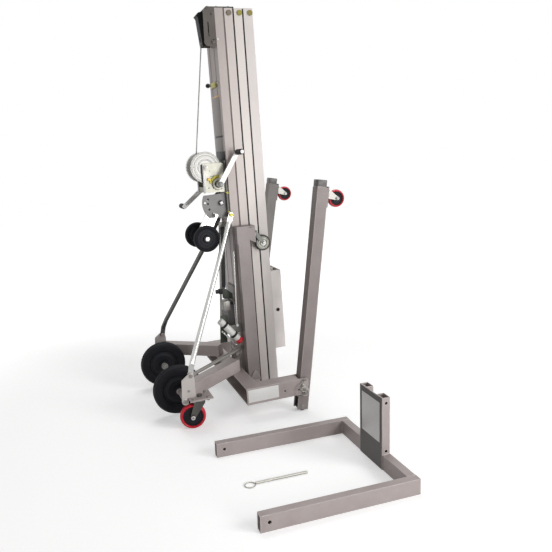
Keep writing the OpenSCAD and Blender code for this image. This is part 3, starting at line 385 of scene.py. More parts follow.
@dataclass(frozen=True)
class Camera:
    """The photograph's camera, solved from the machine's own edges.

    Attributes:
        place: where it stands, in metres from the placement's origin.
        focal_px: focal length in pixels.
        frame_px: side of the picture in pixels.
        pitch: how far it looks down, in degrees.
        yaw: how far it is turned to the right from +Y.
        roll: how far it is rolled.
        sensor: width of the sensor in millimetres.
        reach: how far it sees, in metres.
    """

    place: tuple[float, float, float] = (-0.499, -3.1177, 1.248)
    focal_px: float = 606.25
    frame_px: float = 552.0
    pitch: float = 10.643
    yaw: float = 19.749
    roll: float = 1.799
    sensor: float = 36.0
    reach: float = 60.0

    def build(self, place: Placement) -> None:
        """Creates the camera and makes it the scene's.

        Args:
            place: gives the shared frame's origin.
        """
        data = bpy.data.cameras.new("photo_camera")
        data.sensor_width = self.sensor
        data.lens = self.focal_px / self.frame_px * self.sensor
        data.clip_end = self.reach
        camera = bpy.data.objects.new("photo_camera", data)
        pitch, yaw, roll = (math.radians(a) for a in (self.pitch, self.yaw, self.roll))
        ahead = np.array([math.sin(yaw) * math.cos(pitch), math.cos(yaw) * math.cos(pitch), -math.sin(pitch)])
        level = np.array([math.cos(yaw), -math.sin(yaw), 0.0])
        upright = np.cross(level, ahead)
        right = math.cos(roll) * level - math.sin(roll) * upright
        top = math.sin(roll) * level + math.cos(roll) * upright
        stand(camera, right, top, -ahead, np.array(self.place) + (*place.origin, 0.0))
        bpy.context.scene.camera = camera


def seen_ray(tree: Tree) -> Socket:
    """1 for rays of the camera and for those that gloss or glass sends on, 0 for the rays that light."""
    rays = node(tree, "LightPath").outputs
    shown = maths(tree, "MAXIMUM", rays["Is Camera Ray"], rays["Is Glossy Ray"])
    return maths(tree, "MAXIMUM", shown, rays["Is Transmission Ray"])


@dataclass
class Studio:
    """White floor and backdrop with soft lamps.

    Attributes:
        floor_size: side of the floor in metres.
        floor_colour: its colour.
        near_reach: how far from the middle of the floor its lift starts to grow, in metres.
        far_reach: where the lift is at its full.
        near_lift: light added to the seen floor by the object.
        far_lift: light added to it far away, so that it runs into the backdrop.
        world_colour: colour of the light from all round.
        world_light: its strength.
        lamps: name, place, target, size in metres and power in watts of each lamp.
    """

    floor_size: float = 24.0
    floor_colour: Vec = (0.80, 0.80, 0.80)
    near_reach: float = 1.2
    far_reach: float = 3.4
    near_lift: float = 0.38
    far_lift: float = 0.82
    world_colour: Vec = (1.0, 0.995, 0.99)
    world_light: float = 0.30
    lamps: list[tuple[str, Vec, Vec, float, float]] = field(default_factory=lambda: [
        ("key", (3.2, -3.6, 2.7), (0.1, -0.2, 0.7), 2.0, 118.0),
        ("front", (1.3, -4.2, 1.0), (0.1, -0.1, 0.9), 1.2, 52.0),
        ("top", (0.2, 1.6, 4.6), (0.1, -0.1, 0.6), 2.4, 66.0)])

    def build(self) -> None:
        """Makes the floor, the world and the lamps."""
        self._floor()
        self._world()
        for name, place, target, size, power in self.lamps:
            self._lamp(name, place, target, size, power)

    def _floor(self) -> None:
        """A wide plane that shows white to the camera but still takes the shadow."""
        half = self.floor_size / 2
        mesh = bpy.data.meshes.new("floor")
        mesh.from_pydata([(-half, -half, 0), (half, -half, 0), (half, half, 0), (-half, half, 0)], [], [(0, 1, 2, 3)])
        floor = bpy.data.objects.new("floor", mesh)
        bpy.context.scene.collection.objects.link(floor)
        mat = bpy.data.materials.new("floor_white")
        mat.use_nodes = True
        tree = mat.node_tree
        shader = tree.nodes["Principled BSDF"]
        wire(tree, shader, {"Base Color": (*self.floor_colour, 1.0), "Roughness": 0.9, "Specular IOR Level": 0.1})
        reach = node(tree, "VectorMath", {0: node(tree, "TexCoord").outputs["Object"]}, operation="LENGTH")
        ramp = node(tree, "MapRange", {"From Min": self.near_reach, "From Max": self.far_reach,
                                       "To Min": self.near_lift, "To Max": self.far_lift,
                                       "Value": reach.outputs["Value"]}, interpolation_type="SMOOTHSTEP")
        lift = node(tree, "Emission", {"Strength": ramp.outputs["Result"]}).outputs["Emission"]
        plain = shader.outputs["BSDF"]
        lifted = node(tree, "AddShader", {0: plain, 1: lift}).outputs["Shader"]
        mix = node(tree, "MixShader", {"Fac": seen_ray(tree), 1: plain, 2: lifted})
        wire(tree, tree.nodes["Material Output"], {"Surface": mix.outputs["Shader"]})
        mesh.materials.append(mat)

    def _world(self) -> None:
        """A white surround for the camera and for gloss, and a softer one as light."""
        world = bpy.data.worlds.new("studio")
        bpy.context.scene.world = world
        world.use_nodes = True
        tree = world.node_tree
        light = tree.nodes["Background"]
        wire(tree, light, {"Color": (*self.world_colour, 1.0), "Strength": self.world_light})
        seen = node(tree, "Background", {"Color": WHITE, "Strength": 1.0})
        mix = node(tree, "MixShader", {"Fac": seen_ray(tree), 1: light.outputs["Background"],
                                       2: seen.outputs["Background"]})
        wire(tree, tree.nodes["World Output"], {"Surface": mix.outputs["Shader"]})

    @staticmethod
    def _lamp(name: str, place: Vec, target: Vec, size: float, power: float) -> None:
        """Adds one square area lamp that looks at its target."""
        data = bpy.data.lights.new(name, "AREA")
        data.size = size
        data.energy = power
        back = np.array(place) - np.array(target)
        back /= np.linalg.norm(back)
        right = np.cross([0.0, 0.0, 1.0], back)
        right /= np.linalg.norm(right)
        stand(bpy.data.objects.new(name, data), right, np.cross(back, right), back, place)


class Shape:
    """Closed surfaces gathered as points and faces, in millimetres of whichever frame the caller works in."""

    def __init__(self) -> None:
        self.points: list[np.ndarray] = []
        self.faces: list[tuple[int, ...]] = []
        self.count = 0

    def add(self, points: np.ndarray, faces: list[tuple[int, ...]]) -> "Shape":
        """Adds one closed part and turns its faces outward by the sign of its volume.

        Args:
            points: array of shape (n, 3).
            faces: tuples of indices into points.

        Returns:
            The shape itself, so that calls can be chained.
        """
        p = np.asarray(points, float).reshape(-1, 3)
        middle = p.mean(0)
        volume = sum(float(np.dot(p[f[0]] - middle, np.cross(p[f[i]] - middle, p[f[i + 1]] - middle)))
                     for f in faces for i in range(1, len(f) - 1))
        turned = faces if volume > 0 else [tuple(reversed(f)) for f in faces]
        self.faces += [tuple(i + self.count for i in f) for f in turned]
        self.points.append(p)
        self.count += len(p)
        return self

    def grid(self, rows: np.ndarray, closed: bool = False) -> "Shape":
        """Adds a surface of rings; closed joins the last ring to the first, otherwise both ends get a cap.

        Args:
            rows: array of shape (rings, sides, 3), each ring running once round.
            closed: whether the rings run in a circle.

        Returns:
            The shape itself.
        """
        n, m = rows.shape[:2]
        i, j = np.meshgrid(np.arange(n if closed else n - 1), np.arange(m), indexing="ij")
        a, b = i * m + j, i * m + (j + 1) % m
        c, d = (i + 1) % n * m + (j + 1) % m, (i + 1) % n * m + j
        faces = [tuple(map(int, f)) for f in np.stack([a, b, c, d], -1).reshape(-1, 4)]
        if not closed:
            faces += [tuple(range(m))[::-1], tuple(range((n - 1) * m, n * m))]
        return self.add(rows.reshape(-1, 3), faces)

    def lathe(self, centre: Vec, axis: Vec, profile: Profile, sides: int = 48,
              closed: bool = False) -> "Shape":
        """Turns a profile of (radius, height) about an axis.

        Args:
            centre: point on the axis at height 0.
            axis: direction of the height.
            profile: points of the profile, in order.
            sides: steps round the axis.
            closed: whether the profile is a loop, as in a tyre or a ring.

        Returns:
            The shape itself.
        """
        w, u, v = axes(axis)
        t = np.linspace(0.0, 2 * math.pi, sides, endpoint=False)
        circle = np.cos(t)[:, None] * u + np.sin(t)[:, None] * v
        rows = np.stack([np.array(centre) + h * w + max(r, 0.01) * circle for r, h in profile])
        return self.grid(rows, closed)

    def rod(self, a: Vec, b: Vec, radius: float, sides: int = 24, round_by: float = 0.0) -> "Shape":
        """Adds a round bar from a to b, its ends rounded over by a radius."""
        span = np.array(b, float) - np.array(a, float)
        length = float(np.linalg.norm(span))
        e = min(round_by, radius * 0.9)
        if e <= 0:
            return self.lathe(a, tuple(span), [(radius, 0.0), (radius, length)], sides)
        arc = [(e * math.sin(k * math.pi / 8), e * math.cos(k * math.pi / 8)) for k in range(5)]
        start = [(radius - e + s, e - c) for s, c in arc]
        end = [(r, length - h) for r, h in reversed(start)]
        return self.lathe(a, tuple(span), start + end, sides)

    def tube(self, path: np.ndarray, radius: float | np.ndarray, sides: int = 12, closed: bool = False) -> "Shape":
        """Sweeps a circle along a path without twist.

        Args:
            path: array of shape (n, 3).
            radius: one radius, or one for each point.
            sides: steps round the path.
            closed: whether the path is a loop.

        Returns:
            The shape itself.
        """
        p = np.asarray(path, float)
        if closed:
            ahead = np.roll(p, -1, 0) - np.roll(p, 1, 0)
        else:
            ahead = np.gradient(p, axis=0)
        ahead /= np.linalg.norm(ahead, axis=1)[:, None]
        u = axes(tuple(ahead[0]))[1]
        rows = []
        radii = np.broadcast_to(np.asarray(radius, float), (len(p),))
        t = np.linspace(0.0, 2 * math.pi, sides, endpoint=False)
        for point, w, r in zip(p, ahead, radii):
            u = u - np.dot(u, w) * w
            u /= np.linalg.norm(u)
            v = np.cross(w, u)
            rows.append(point + r * (np.cos(t)[:, None] * u + np.sin(t)[:, None] * v))
        return self.grid(np.array(rows), closed)

    def prism(self, outline: Profile, origin: Vec, u: Vec, v: Vec, depth: Vec) -> "Shape":
        """Pushes a flat outline, drawn along u and v from the origin, through a depth vector."""
        flat = np.array([np.array(origin) + a * np.array(u) + b * np.array(v) for a, b in outline], float)
        return self.grid(np.stack([flat, flat + np.array(depth)]))

    def slab(self, outline: Profile, y: float, depth: float, x: float = 0.0, z: float = 0.0) -> "Shape":
        """Pushes an outline of the side view, drawn from (x, z), along Y from y by a depth."""
        return self.prism(outline, (x, y, z), ALONG, UP, (0, depth, 0))

    def box(self, low: Vec, high: Vec) -> "Shape":
        """Adds a box between two corners."""
        (x0, y0, z0), (x1, y1, z1) = low, high
        return self.prism([(x0, y0), (x1, y0), (x1, y1), (x0, y1)], (0, 0, z0), ALONG, ACROSS, (0, 0, z1 - z0))

    def hexagon(self, centre: Vec, axis: Vec, across: float, height: float, turn: float = 0.0) -> "Shape":
        """Adds a six-sided head or nut whose outer corners are turned off to a cone."""
        w, u, v = axes(axis)
        rows = []
        for level, reach in ((0.0, 1.0), (height * 0.78, 1.0), (height, 0.9)):
            ring = []
            for k in range(24):
                a = 2 * math.pi * k / 24
                flat = across / 2 / math.cos((a + math.pi / 6) % (math.pi / 3) - math.pi / 6)
                r = min(flat, across / 2 / math.cos(math.pi / 6) * reach)
                ring.append(np.array(centre) + level * w + r * (math.cos(a + turn) * u + math.sin(a + turn) * v))
            rows.append(ring)
        return self.grid(np.array(rows))

    def bolt(self, seat: Vec, axis: Vec, size: float, nut: bool = False) -> "Shape":
        """Adds a washer and a hexagon head on a seat, or a nut with the end of its thread.

        Args:
            seat: centre of the face that the washer lies on.
            axis: direction away from that face.
            size: thread diameter.
            nut: draws a nut and a thread end in place of a head.

        Returns:
            The shape itself.
        """
        w = axes(axis)[0]
        base = np.array(seat, float)
        thick = size * 0.18
        disc = [(size * 1.15, 0.0), (size * 1.15, 0.75 + thick), (size * 1.08, 1 + thick)]
        self.lathe(tuple(base - w), axis, disc, 24)
        top = base + thick * w
        self.hexagon(tuple(top), axis, size * 1.65, size * (0.8 if nut else 0.66), turn=float(sum(seat)) % 1.0)
        if nut:
            self.lathe(tuple(top), axis, [(size / 2, 0.0), (size / 2, size * 0.95), (size * 0.4, size * 1.05)], 16)
        return self

    def ball(self, centre: Vec, radius: float, sides: int = 20) -> "Shape":
        """Adds a ball."""
        arc = [(radius * math.sin(a), -radius * math.cos(a)) for a in np.linspace(0.06, math.pi - 0.06, 11)]
        return self.lathe(centre, UP, arc, sides)

    def bead(self, a: Vec, b: Vec, radius: float = 2.2) -> "Shape":
        """Adds a weld bead from a to b: rippled, rounded and thin at both ends."""
        t = np.linspace(0.0, 1.0, BEAD_STEPS)
        swell = 0.55 + 0.45 * np.sqrt(np.clip(np.sin(math.pi * t) * 4, 0, 1))
        ripple = 1 + 0.08 * np.sin(t * BEAD_STEPS * 1.9)
        return self.tube(even_path(a, b, BEAD_STEPS), radius * swell * ripple, 8)

    def turned(self, matrix: np.ndarray) -> "Shape":
        """Moves every point by a 4 by 4 matrix; a mirroring one also turns the faces over."""
        self.points = [p @ matrix[:3, :3].T + matrix[:3, 3] for p in self.points]
        if np.linalg.det(matrix[:3, :3]) < 0:
            self.faces = [tuple(reversed(f)) for f in self.faces]
        return self

    def sided(self, side: Side) -> "Shape":
        """Mirrors a shape drawn on the left when it belongs on the right."""
        return self.turned(np.diag([1.0, -1.0, 1.0, 1.0])) if side is Side.RIGHT else self

    def all_points(self) -> np.ndarray:
        """Every point so far, in one array."""
        return np.concatenate(self.points)


def axes(direction: Vec) -> tuple[np.ndarray, np.ndarray, np.ndarray]:
    """A unit vector along a direction and two more square to it.

    Args:
        direction: any vector that isn't zero.

    Returns:
        The three unit vectors, right-handed with the first as the axis.
    """
    w = np.array(direction, float)
    w /= np.linalg.norm(w)
    helper = np.array([0.0, 0.0, 1.0]) if abs(w[2]) < 0.9 else np.array([1.0, 0.0, 0.0])
    u = np.cross(helper, w)
    u /= np.linalg.norm(u)
    return w, u, np.cross(w, u)


@dataclass
class Workshop:
    """Turns shapes into scene pieces and hangs each on its body.

    Attributes:
        place: turns the machine's millimetres into the frame's metres.
        made: how many pieces it has made.
    """

    place: Placement
    made: int = 0

    def piece(self, name: str, shape: Shape, finish: Finish, slot: str = "bright_steel", body: str = "frame",
              bevel: float = 0.0, side: Side | None = None, replaces: str = "", on_floor: bool = False) -> None:
        """Makes one piece of the object.

        Args:
            name: the piece's name.
            shape: its surfaces, in millimetres.
            finish: its material.
            slot: the material slot of the record that it belongs to; not used.
            body: the body that it rides on.
            bevel: width in millimetres of the rounding of its sharp edges.
            side: side of a piece that each side has. The shape is drawn on the left, the name takes the side's word
                at its end, and so do body and replaces where they end in an underscore.
            replaces: node that it stands for, if any.
            on_floor: whether the shape is drawn square on the floor and not on the leaned machine.
        """
        if side:
            shape, name = shape.sided(side), f"{name}_{side.word}"
            body, replaces = (word + side.word if word.endswith("_") else word for word in (body, replaces))
        points = shape.all_points()
        world = self.place.floor(points) if on_floor else self.place.machine(points)
        mesh = bpy.data.meshes.new(name)
        mesh.from_pydata(world.tolist(), [], shape.faces)
        if bevel > 0:
            self._bevel(mesh, bevel * MM)
        mesh.shade_smooth()
        mesh.set_sharp_from_angle(angle=math.radians(CREASE))
        mesh.materials.append(finish.material(self.place))
        piece = bpy.data.objects.new(name, mesh)
        bpy.context.scene.collection.objects.link(piece)
        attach(piece, body)
        if replaces:
            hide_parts(replaces)
        self.made += 1
        LOG.info("%s: %d faces on %s", name, len(mesh.polygons), body)

    @staticmethod
    def _bevel(mesh: bpy.types.Mesh, width: float) -> None:
        """Rounds the sharp edges of a mesh over a width in metres."""
        solid = bmesh.new()
        solid.from_mesh(mesh)
        sharp = [e for e in solid.edges if len(e.link_faces) == 2 and e.calc_face_angle(0.0) > math.radians(SHARP)]
        bmesh.ops.bevel(solid, geom=sharp, offset=width, segments=2, profile=0.5, affect="EDGES", clamp_overlap=True)
        solid.to_mesh(mesh)
        solid.free()


def round_y(centre: Vec, profile: Profile, sides: int = 64, closed: bool = False) -> Shape:
    """A turned form about a crosswise axle: profile of (radius, distance along Y)."""
    return Shape().lathe(centre, ACROSS, profile, sides, closed)


def spin_z(x: float, y: float, degrees: float) -> np.ndarray:
    """Matrix that turns about the vertical and then moves to a place."""
    a = math.radians(degrees)
    m = np.eye(4)
    m[:2, :2] = [[math.cos(a), -math.sin(a)], [math.sin(a), math.cos(a)]]
    m[:3, 3] = (x, y, 0.0)
    return m


def spin_y(place: Vec, degrees: float) -> np.ndarray:
    """Matrix that tips the vertical forward and then moves to a place."""
    a = math.radians(degrees)
    m = np.eye(4)
    m[0, 0], m[0, 2], m[2, 0], m[2, 2] = math.cos(a), math.sin(a), -math.sin(a), math.cos(a)
    m[:3, 3] = place
    return m


def polar(radius: float, angle: float) -> tuple[float, float]:
    """Point at a radius and an angle in radians."""
    return radius * math.cos(angle), radius * math.sin(angle)


def span(s: int, near: float, far: float) -> tuple[float, float]:
    """Both ends of a stretch of Y on the side of a sign, the lower first."""
    return min(s * near, s * far), max(s * near, s * far)


def even_path(a: Vec, b: Vec, steps: int) -> np.ndarray:
    """Straight line from a to b in even steps."""
    t = np.linspace(0.0, 1.0, steps)[:, None]
    return np.array(a, float) * (1 - t) + np.array(b, float) * t


def square(half: float) -> Profile:
    """Outline of a square about the origin."""
    return [(-half, -half), (half, -half), (half, half), (-half, half)]


def ring(inner: float, outer: float, low: float, high: float) -> Profile:
    """Loop of a flat ring from one height to another."""
    return [(inner, low), (inner, high), (outer, high), (outer, low)]


def washer(inner: float, outer: float, edge: float, top: float, height: float) -> Profile:
    """Loop of a washer whose outer wall runs up to edge and slants in to the radius top at its full height."""
    return [(inner, 0), (outer, 0), (outer, edge), (top, height), (inner, height)]


def flat_head(radius: float, edge: float, top: float, height: float) -> Profile:
    """Outline of a low round head that slants from its edge to the radius top."""
    return [(CORE, 0), (radius, 0), (radius, edge), (top, height), (CORE, height + 0.2)]


def dark_spot(radius: float) -> Profile:
    """Outline of a flat disc, let into a plate, that stands for a hole; finished black, it is painted shade inside the
    hole.
    """
    return [(CORE, -0.6), (radius, -0.6), (radius, 0.25), (radius - 0.6, 0.35), (CORE, 0.3)]


# Places and sizes on the machine in millimetres, drawn on the left where both sides have them, turns in degrees
MAST_X = 386.0
PITCH = 49.0
MAST_HALF = 100.0
MAST_TOP = 1975.0
CAP_TOP = MAST_TOP + 6
HALF_TUBE = 31.75
CHANNEL_TOP = 156.0
ARM_TURN = -37.6
ARM_FOOT = (43.0, 365.0, CHANNEL_TOP)
BIG_AXLE = (5.0, 217.0, 140.0)
UPRIGHT_OUT = 400.0
UPRIGHT_MID = 396.0
BRACE_LOW = (42.0, 380.0, 262.0)
BRACE_TOP = (383.0, 110.0, 974.0)
REAR_STEM = (75.0, 400.0)
SWIVEL = 10.0
REAR_AXLE = (-40.0, 0.0, 61.18)
LEG_PIVOT = (604.0, 399.0, 84.0)
LEG_LEAN = {Side.RIGHT: 9.0, Side.LEFT: 11.0}
LEG_HALF = 28.5
LEG_AXLE = (86.0, 0.0, 974.0)
LEG_CASTER = 993.0
LEG_TOP = 1025.0
ROLLER = 24.0
MEMBER_IN = 361.0
MEMBER_OUT = 437.0
STAB_AXLE = (535.0, 133.0, 817.0)
STAB_RACE = (490.3, 133.0, 868.0)
# The winch: WIND is the radius of the cable's turns, STEP their distance, STRAND a strand's radius; PAWL is (x, z)
DRUM = (283.0, 0.0, 1222.0)
FLANGE_Y = -66.0
WIND = 35.6
TURNS = 8
STEP = 7.2
STRANDS = 6
STRAND = 1.02
STRAND_REACH = 1.95
STRAND_LAY = 42.0
CABLE_CORE = 1.3
CRANK = (337.165, 0.0, 1134.98)
CRANK_OUT = 136.0
CRANK_LENGTH = 182.0
CRANK_TURN = {Side.RIGHT: 57.0, Side.LEFT: 219.0}
TEETH = 16
PLATE_OUT = 75.0
MOUNT_X = 380.0
PAWL = (289.0, 1161.0)
SHEAVE = (368.0, 0.0, 1860.0)
SHEAVE_GROOVE = 31.0
# On and behind the mast: QUAD_PIVOT is (x, z)
LOAD_AXLE = (247.1, 107.0, 865.31)
QUAD_PIVOT = (346.0, 1038.0)
QUAD_FACE = -70.0
PROP_Y = -60.0
CHROME_Y = -112.0
DOC_A = (272.0, -130.0, 432.0)
DOC_B = (371.0, -130.0, 312.0)
CAP_RIBS = 28
CAP_RADIUS = 19.6
# The fork frame on the floor: its two sides, the back of its bar and half the width of its bracket
FORK_Y0 = -1324.0
FORK_Y1 = -703.0
FORK_BAR_X = 659.0
BRACKET_HALF = 93.0


def leg_matrix(side: Side) -> np.ndarray:
    """Matrix of a folded leg, drawn on the left: its pivot at the origin and its tube along the vertical."""
    return spin_y(LEG_PIVOT, LEG_LEAN[side])


def roller_drop(side: Side) -> float:
    """How far below the pivot the leg's roller stands, so that it touches the floor."""
    lean = math.radians(LEAN)
    height = LEG_PIVOT[0] * math.sin(lean) + LEG_PIVOT[2] * math.cos(lean)
    return (height - ROLLER) / math.cos(math.radians(LEG_LEAN[side]) - lean)


def crank_tip(side: Side) -> tuple[float, float]:
    """Where a crank's grip stands, in the side view."""
    dx, dz = polar(CRANK_LENGTH, math.radians(CRANK_TURN[side]))
    return CRANK[0] + dx, CRANK[2] + dz


@dataclass(frozen=True)
class WheelSize:
    """One kind of wheel, in millimetres.

    Attributes:
        radius: outside of the tread.
        width: of the tread.
        rim: radius at which the tyre meets the rim.
        hub: radius of the hub boss.
        hub_width: length of the hub boss.
        bore: radius of the bore.
    """

    radius: float
    width: float
    rim: float
    hub: float
    hub_width: float
    bore: float

    def tyre(self, grooves: int) -> Profile:
        """Loop of the tyre: bead, bulged walls, rounded shoulders and a tread with fine grooves.

        Args:
            grooves: grooves round the tread.

        Returns:
            The loop of (radius, distance along the axle).
        """
        half, r0, r1 = self.width / 2, self.rim, self.radius
        corner = min((r1 - r0) * 0.55, half * 0.55)
        crown = 0.05 * self.width
        right = [(r0, half * 0.62), (r0 + (r1 - r0) * 0.12, half * 0.86), (r0 + (r1 - r0) * 0.3, half)]
        right += [(r1 - crown - corner * (1 - math.sin(a)), half - corner * (1 - math.cos(a)))
                  for a in np.linspace(0.0, math.pi / 2, 7)]
        flat = half - corner
        tread = []
        for k in range(grooves):
            h = flat * (1 - 2 * (k + 1) / (grooves + 1))
            tread += [(r1, h + 1.6), (r1 - 1.6, h + 0.9), (r1 - 1.6, h - 0.9), (r1, h - 1.6)]
        if not grooves:
            tread = [(r1, flat * 0.4), (r1, -flat * 0.4)]
        return right + tread + [(r, -h) for r, h in reversed(right)]

    def rim_disc(self) -> Profile:
        """Loop of the rim: boss, dished web with a ridge, and a lip that carries the tyre."""
        half, boss, r0, lip = self.width / 2, self.hub_width / 2, self.rim + 0.4, 3.0
        web = half * 0.45
        top = [(self.bore, boss), (self.hub - 1.5, boss), (self.hub, boss - 1.5), (self.hub + 1.5, web),
               (r0 * 0.62, web), (r0 * 0.66, web + 1.6), (r0 * 0.72, web + 1.6), (r0 * 0.76, web),
               (r0 - lip * 1.6, web), (r0 - lip, half * 0.72), (r0, half * 0.72)]
        return top + [(r, -h) for r, h in reversed(top)]


BIG_WHEEL = WheelSize(125.0, 62.0, 74.0, 22.0, 61.0, 10.1)
LOADING_WHEEL = WheelSize(68.0, 36.0, 50.0, 20.0, 36.0, 8.1)
REAR_WHEEL = WheelSize(62.5, 34.0, 47.0, 16.0, 38.0, 6.1)
LEG_WHEEL = WheelSize(43.0, 28.0, 33.0, 12.0, 30.0, 5.1)
STABILISER_WHEEL = WheelSize(42.0, 24.0, 33.5, 11.0, 26.0, 5.1)


class Details:
    """One group of pieces, made in a workshop."""

    def __init__(self, shop: Workshop) -> None:
        self.piece = shop.piece


class WheelMaker(Details):
    """Builds every wheel as a tyre on a rim, in place of the plain one."""

    def pair(self, stem: str, size: WheelSize, matrix: np.ndarray, side: Side, tyre: Finish, rim: Finish,
             slot: str, grooves: int = 0) -> None:
        """Makes one wheel.

        Args:
            stem: node and body that the wheel stands for, without the side's word.
            size: its kind.
            matrix: takes the wheel's own centre to its place on the left side.
            side: side of the machine.
            tyre: finish of the tyre.
            rim: finish of the rim.
            slot: material slot of the record.
            grooves: grooves round the tread.
        """
        name = f"{stem}_{side.word}"
        for part, profile, sides, finish in (("tyre", size.tyre(grooves), 96, tyre), ("rim", size.rim_disc(), 72, rim)):
            shape = round_y((0, 0, 0), profile, sides, True).turned(matrix).sided(side)
            self.piece(f"{name}_{part}", shape, finish, slot, name, replaces=name)

    def build(self) -> None:
        """Makes all ten wheels."""
        for side in Side:
            caster = spin_z(*REAR_STEM, SWIVEL) @ spin_y(REAR_AXLE, 0)
            leg = leg_matrix(side) @ spin_y(LEG_AXLE, 0)
            self.pair("big_wheel", BIG_WHEEL, spin_y(BIG_AXLE, 0), side, TYRE, RIM, "black_tyre", 3)
            self.pair("loading_wheel", LOADING_WHEEL, spin_y(LOAD_AXLE, 0), side, TYRE, RIM, "black_tyre")
            self.pair("rear_caster_wheel", REAR_WHEEL, caster, side, RED_TYRE, RIM, "red_tyre")
            self.pair("leg_caster_wheel", LEG_WHEEL, leg, side, RED_TYRE, RIM, "red_tyre")
            self.pair("stabiliser_wheel", STABILISER_WHEEL, spin_y(STAB_AXLE, 0), side, GREY_TYRE, PALE_WHEEL,
                      "pale_wheel")


class BaseDetails(Details):
    """Bolts, beads, pins and plates of the wheeled base."""

    def build(self) -> None:
        """Adds every detail of the base."""
        for side in Side:
            for make in (self._caster_bolts, self._axle_nuts, self._leg_root, self._lanyard, self._roller,
                         self._leg_top, self._beads):
                make(side)
        self._bare_plate()
        self._mast_foot()

    def _caster_bolts(self, side: Side) -> None:
        """Four bolts of the rear caster, its swivel race, axle nuts and their caps."""
        bolts = Shape()
        for dx in (-34, 34):
            for dy in (-38, 34):
                x, y = REAR_STEM[0] + dx, REAR_STEM[1] + dy
                if abs(y - UPRIGHT_MID) > 12:
                    bolts.bolt((x, y, CHANNEL_TOP), UP, 8.0)
                bolts.bolt((x, y, CHANNEL_TOP - 6), (0, 0, -1), 8.0, nut=True)
        self.piece("caster_bolts", bolts, DULL, side=side)
        race = Shape().lathe((0, 0, CHANNEL_TOP - 19), UP,
                             [(27.6, 0), (30, 2.5), (30, 7), (27.6, 9.5), (24, 9.5), (24, 0)], 48, True)
        caps = Shape()
        for s in BOTH:
            seat = (REAR_AXLE[0], s * 30.0, REAR_AXLE[2])
            caps.lathe(seat, (0, s, 0), [(5.0, 0), (10, 0), (10, 3.0), (8.8, 4.2), (6.0, 4.2), (5.0, 3.4)], 32, True)
            race.bolt(seat, (0, s, 0), 5.0, nut=s > 0)
        place = spin_z(*REAR_STEM, SWIVEL)
        self.piece("rear_race", race.turned(place), DULL, "caster_steel", "rear_caster_fork_", side=side)
        self.piece("rear_axle_caps", caps.turned(place), WHITE_STEEL, "caster_steel", "rear_caster_fork_", side=side)

    def _axle_nuts(self, side: Side) -> None:
        """Nuts and washer on the stub axle of the large wheel, and bolts on the upright plate."""
        x, y, z = BIG_AXLE
        disc = Shape().lathe((x, UPRIGHT_OUT, z), ACROSS, washer(9.4, 14.5, 2.0, 13.4, 2.8), 36, True)
        self.piece("axle_ring", disc, WHITE_STEEL, side=side)
        nuts = Shape().bolt((x, UPRIGHT_OUT + 1, z), ACROSS, 9.0, nut=True)
        nuts.bolt((x, y - 52, z), NEAR, 16.0, nut=True)
        nuts.bolt((BRACE_LOW[0], UPRIGHT_OUT, BRACE_LOW[2]), ACROSS, 8.5).bolt((26, UPRIGHT_OUT, 190), ACROSS, 5.5)
        self.piece("axle_nuts", nuts, DULL, side=side)

    def _leg_root(self, side: Side) -> None:
        """Heads and nut of the pivot bolt and of the bolt above it."""
        x, z, out = LEG_PIVOT[0], LEG_PIVOT[2], MEMBER_OUT
        bolts = Shape().bolt((x, out + 8, z), ACROSS, 9.0)
        bolts.bolt((x, MEMBER_IN - 9, z), NEAR, 10.0, nut=True).bolt((x - 6, out, 146), ACROSS, 5.5)
        self.piece("pivot_bolts", bolts, DULL, side=side)

    def _lanyard(self, side: Side) -> None:
        """Lanyard of the leg's lock pin: two cords with their ferrules, and three rings."""
        x, z, out = LEG_PIVOT[0], LEG_PIVOT[2], MEMBER_OUT
        t = np.linspace(0, 1, 40)
        sag = np.stack([x - 10 - 34 * np.sin(math.pi * t) - 2 * t, out + 5 + 6 * np.sin(2 * math.pi * t),
                        143 - 52 * t - 10 * np.sin(math.pi * t)], 1)
        cord = Shape().tube(sag, 0.9, 8).tube(sag[1:5], 2.0, 10).tube(sag[-5:-1], 2.0, 10)
        weights = np.stack([(1 - t) ** 3, 3 * t * (1 - t) ** 2, 3 * t ** 2 * (1 - t), t ** 3], 1)
        corners = [(x - 8, out + 6, 144), (x - 78, out + 5, 132), (x - 66, out + 3, 40), (x - 8, out + 12, 76)]
        cord.tube(weights @ np.array(corners, float), 0.9, 8)
        turn = np.linspace(0, 2 * math.pi, 33)[:-1]
        for cx, cz, y, r in ((x - 6, 146, out + 7.5, 9.5), (x + 3, 150, out + 8.0, 8.0), (x, z, out + 11.5, 12.5)):
            loop = np.stack([cx + r * np.cos(turn), y + 1.5 * np.sin(turn * 2), cz + r * np.sin(turn)], 1)
            cord.tube(loop, 1.1, 8, True)
        self.piece("lanyard", cord, DULL, side=side)

    def _roller(self, side: Side) -> None:
        """Roller at the root of a leg and the flat ends of its axle."""
        drop, place = roller_drop(side), leg_matrix(side)
        ends = Shape()
        for s in BOTH:
            ends.lathe((0, s * LEG_HALF, -drop), (0, s, 0), flat_head(9.5, 0.6, 6, 1.4), 32)
        self.piece("roller_axle", ends.turned(place), DULL, body="leg_", side=side)
        low = [(6.1, -20), (20, -20), (23.3, -17), (ROLLER, -12)]
        roller = round_y((0, 0, -drop), low + [(r, -h) for r, h in reversed(low)], 48, True).turned(place)
        self.piece("roller", roller, TYRE, "black_grip", "leg_roller_", side=side, replaces="leg_roller_")

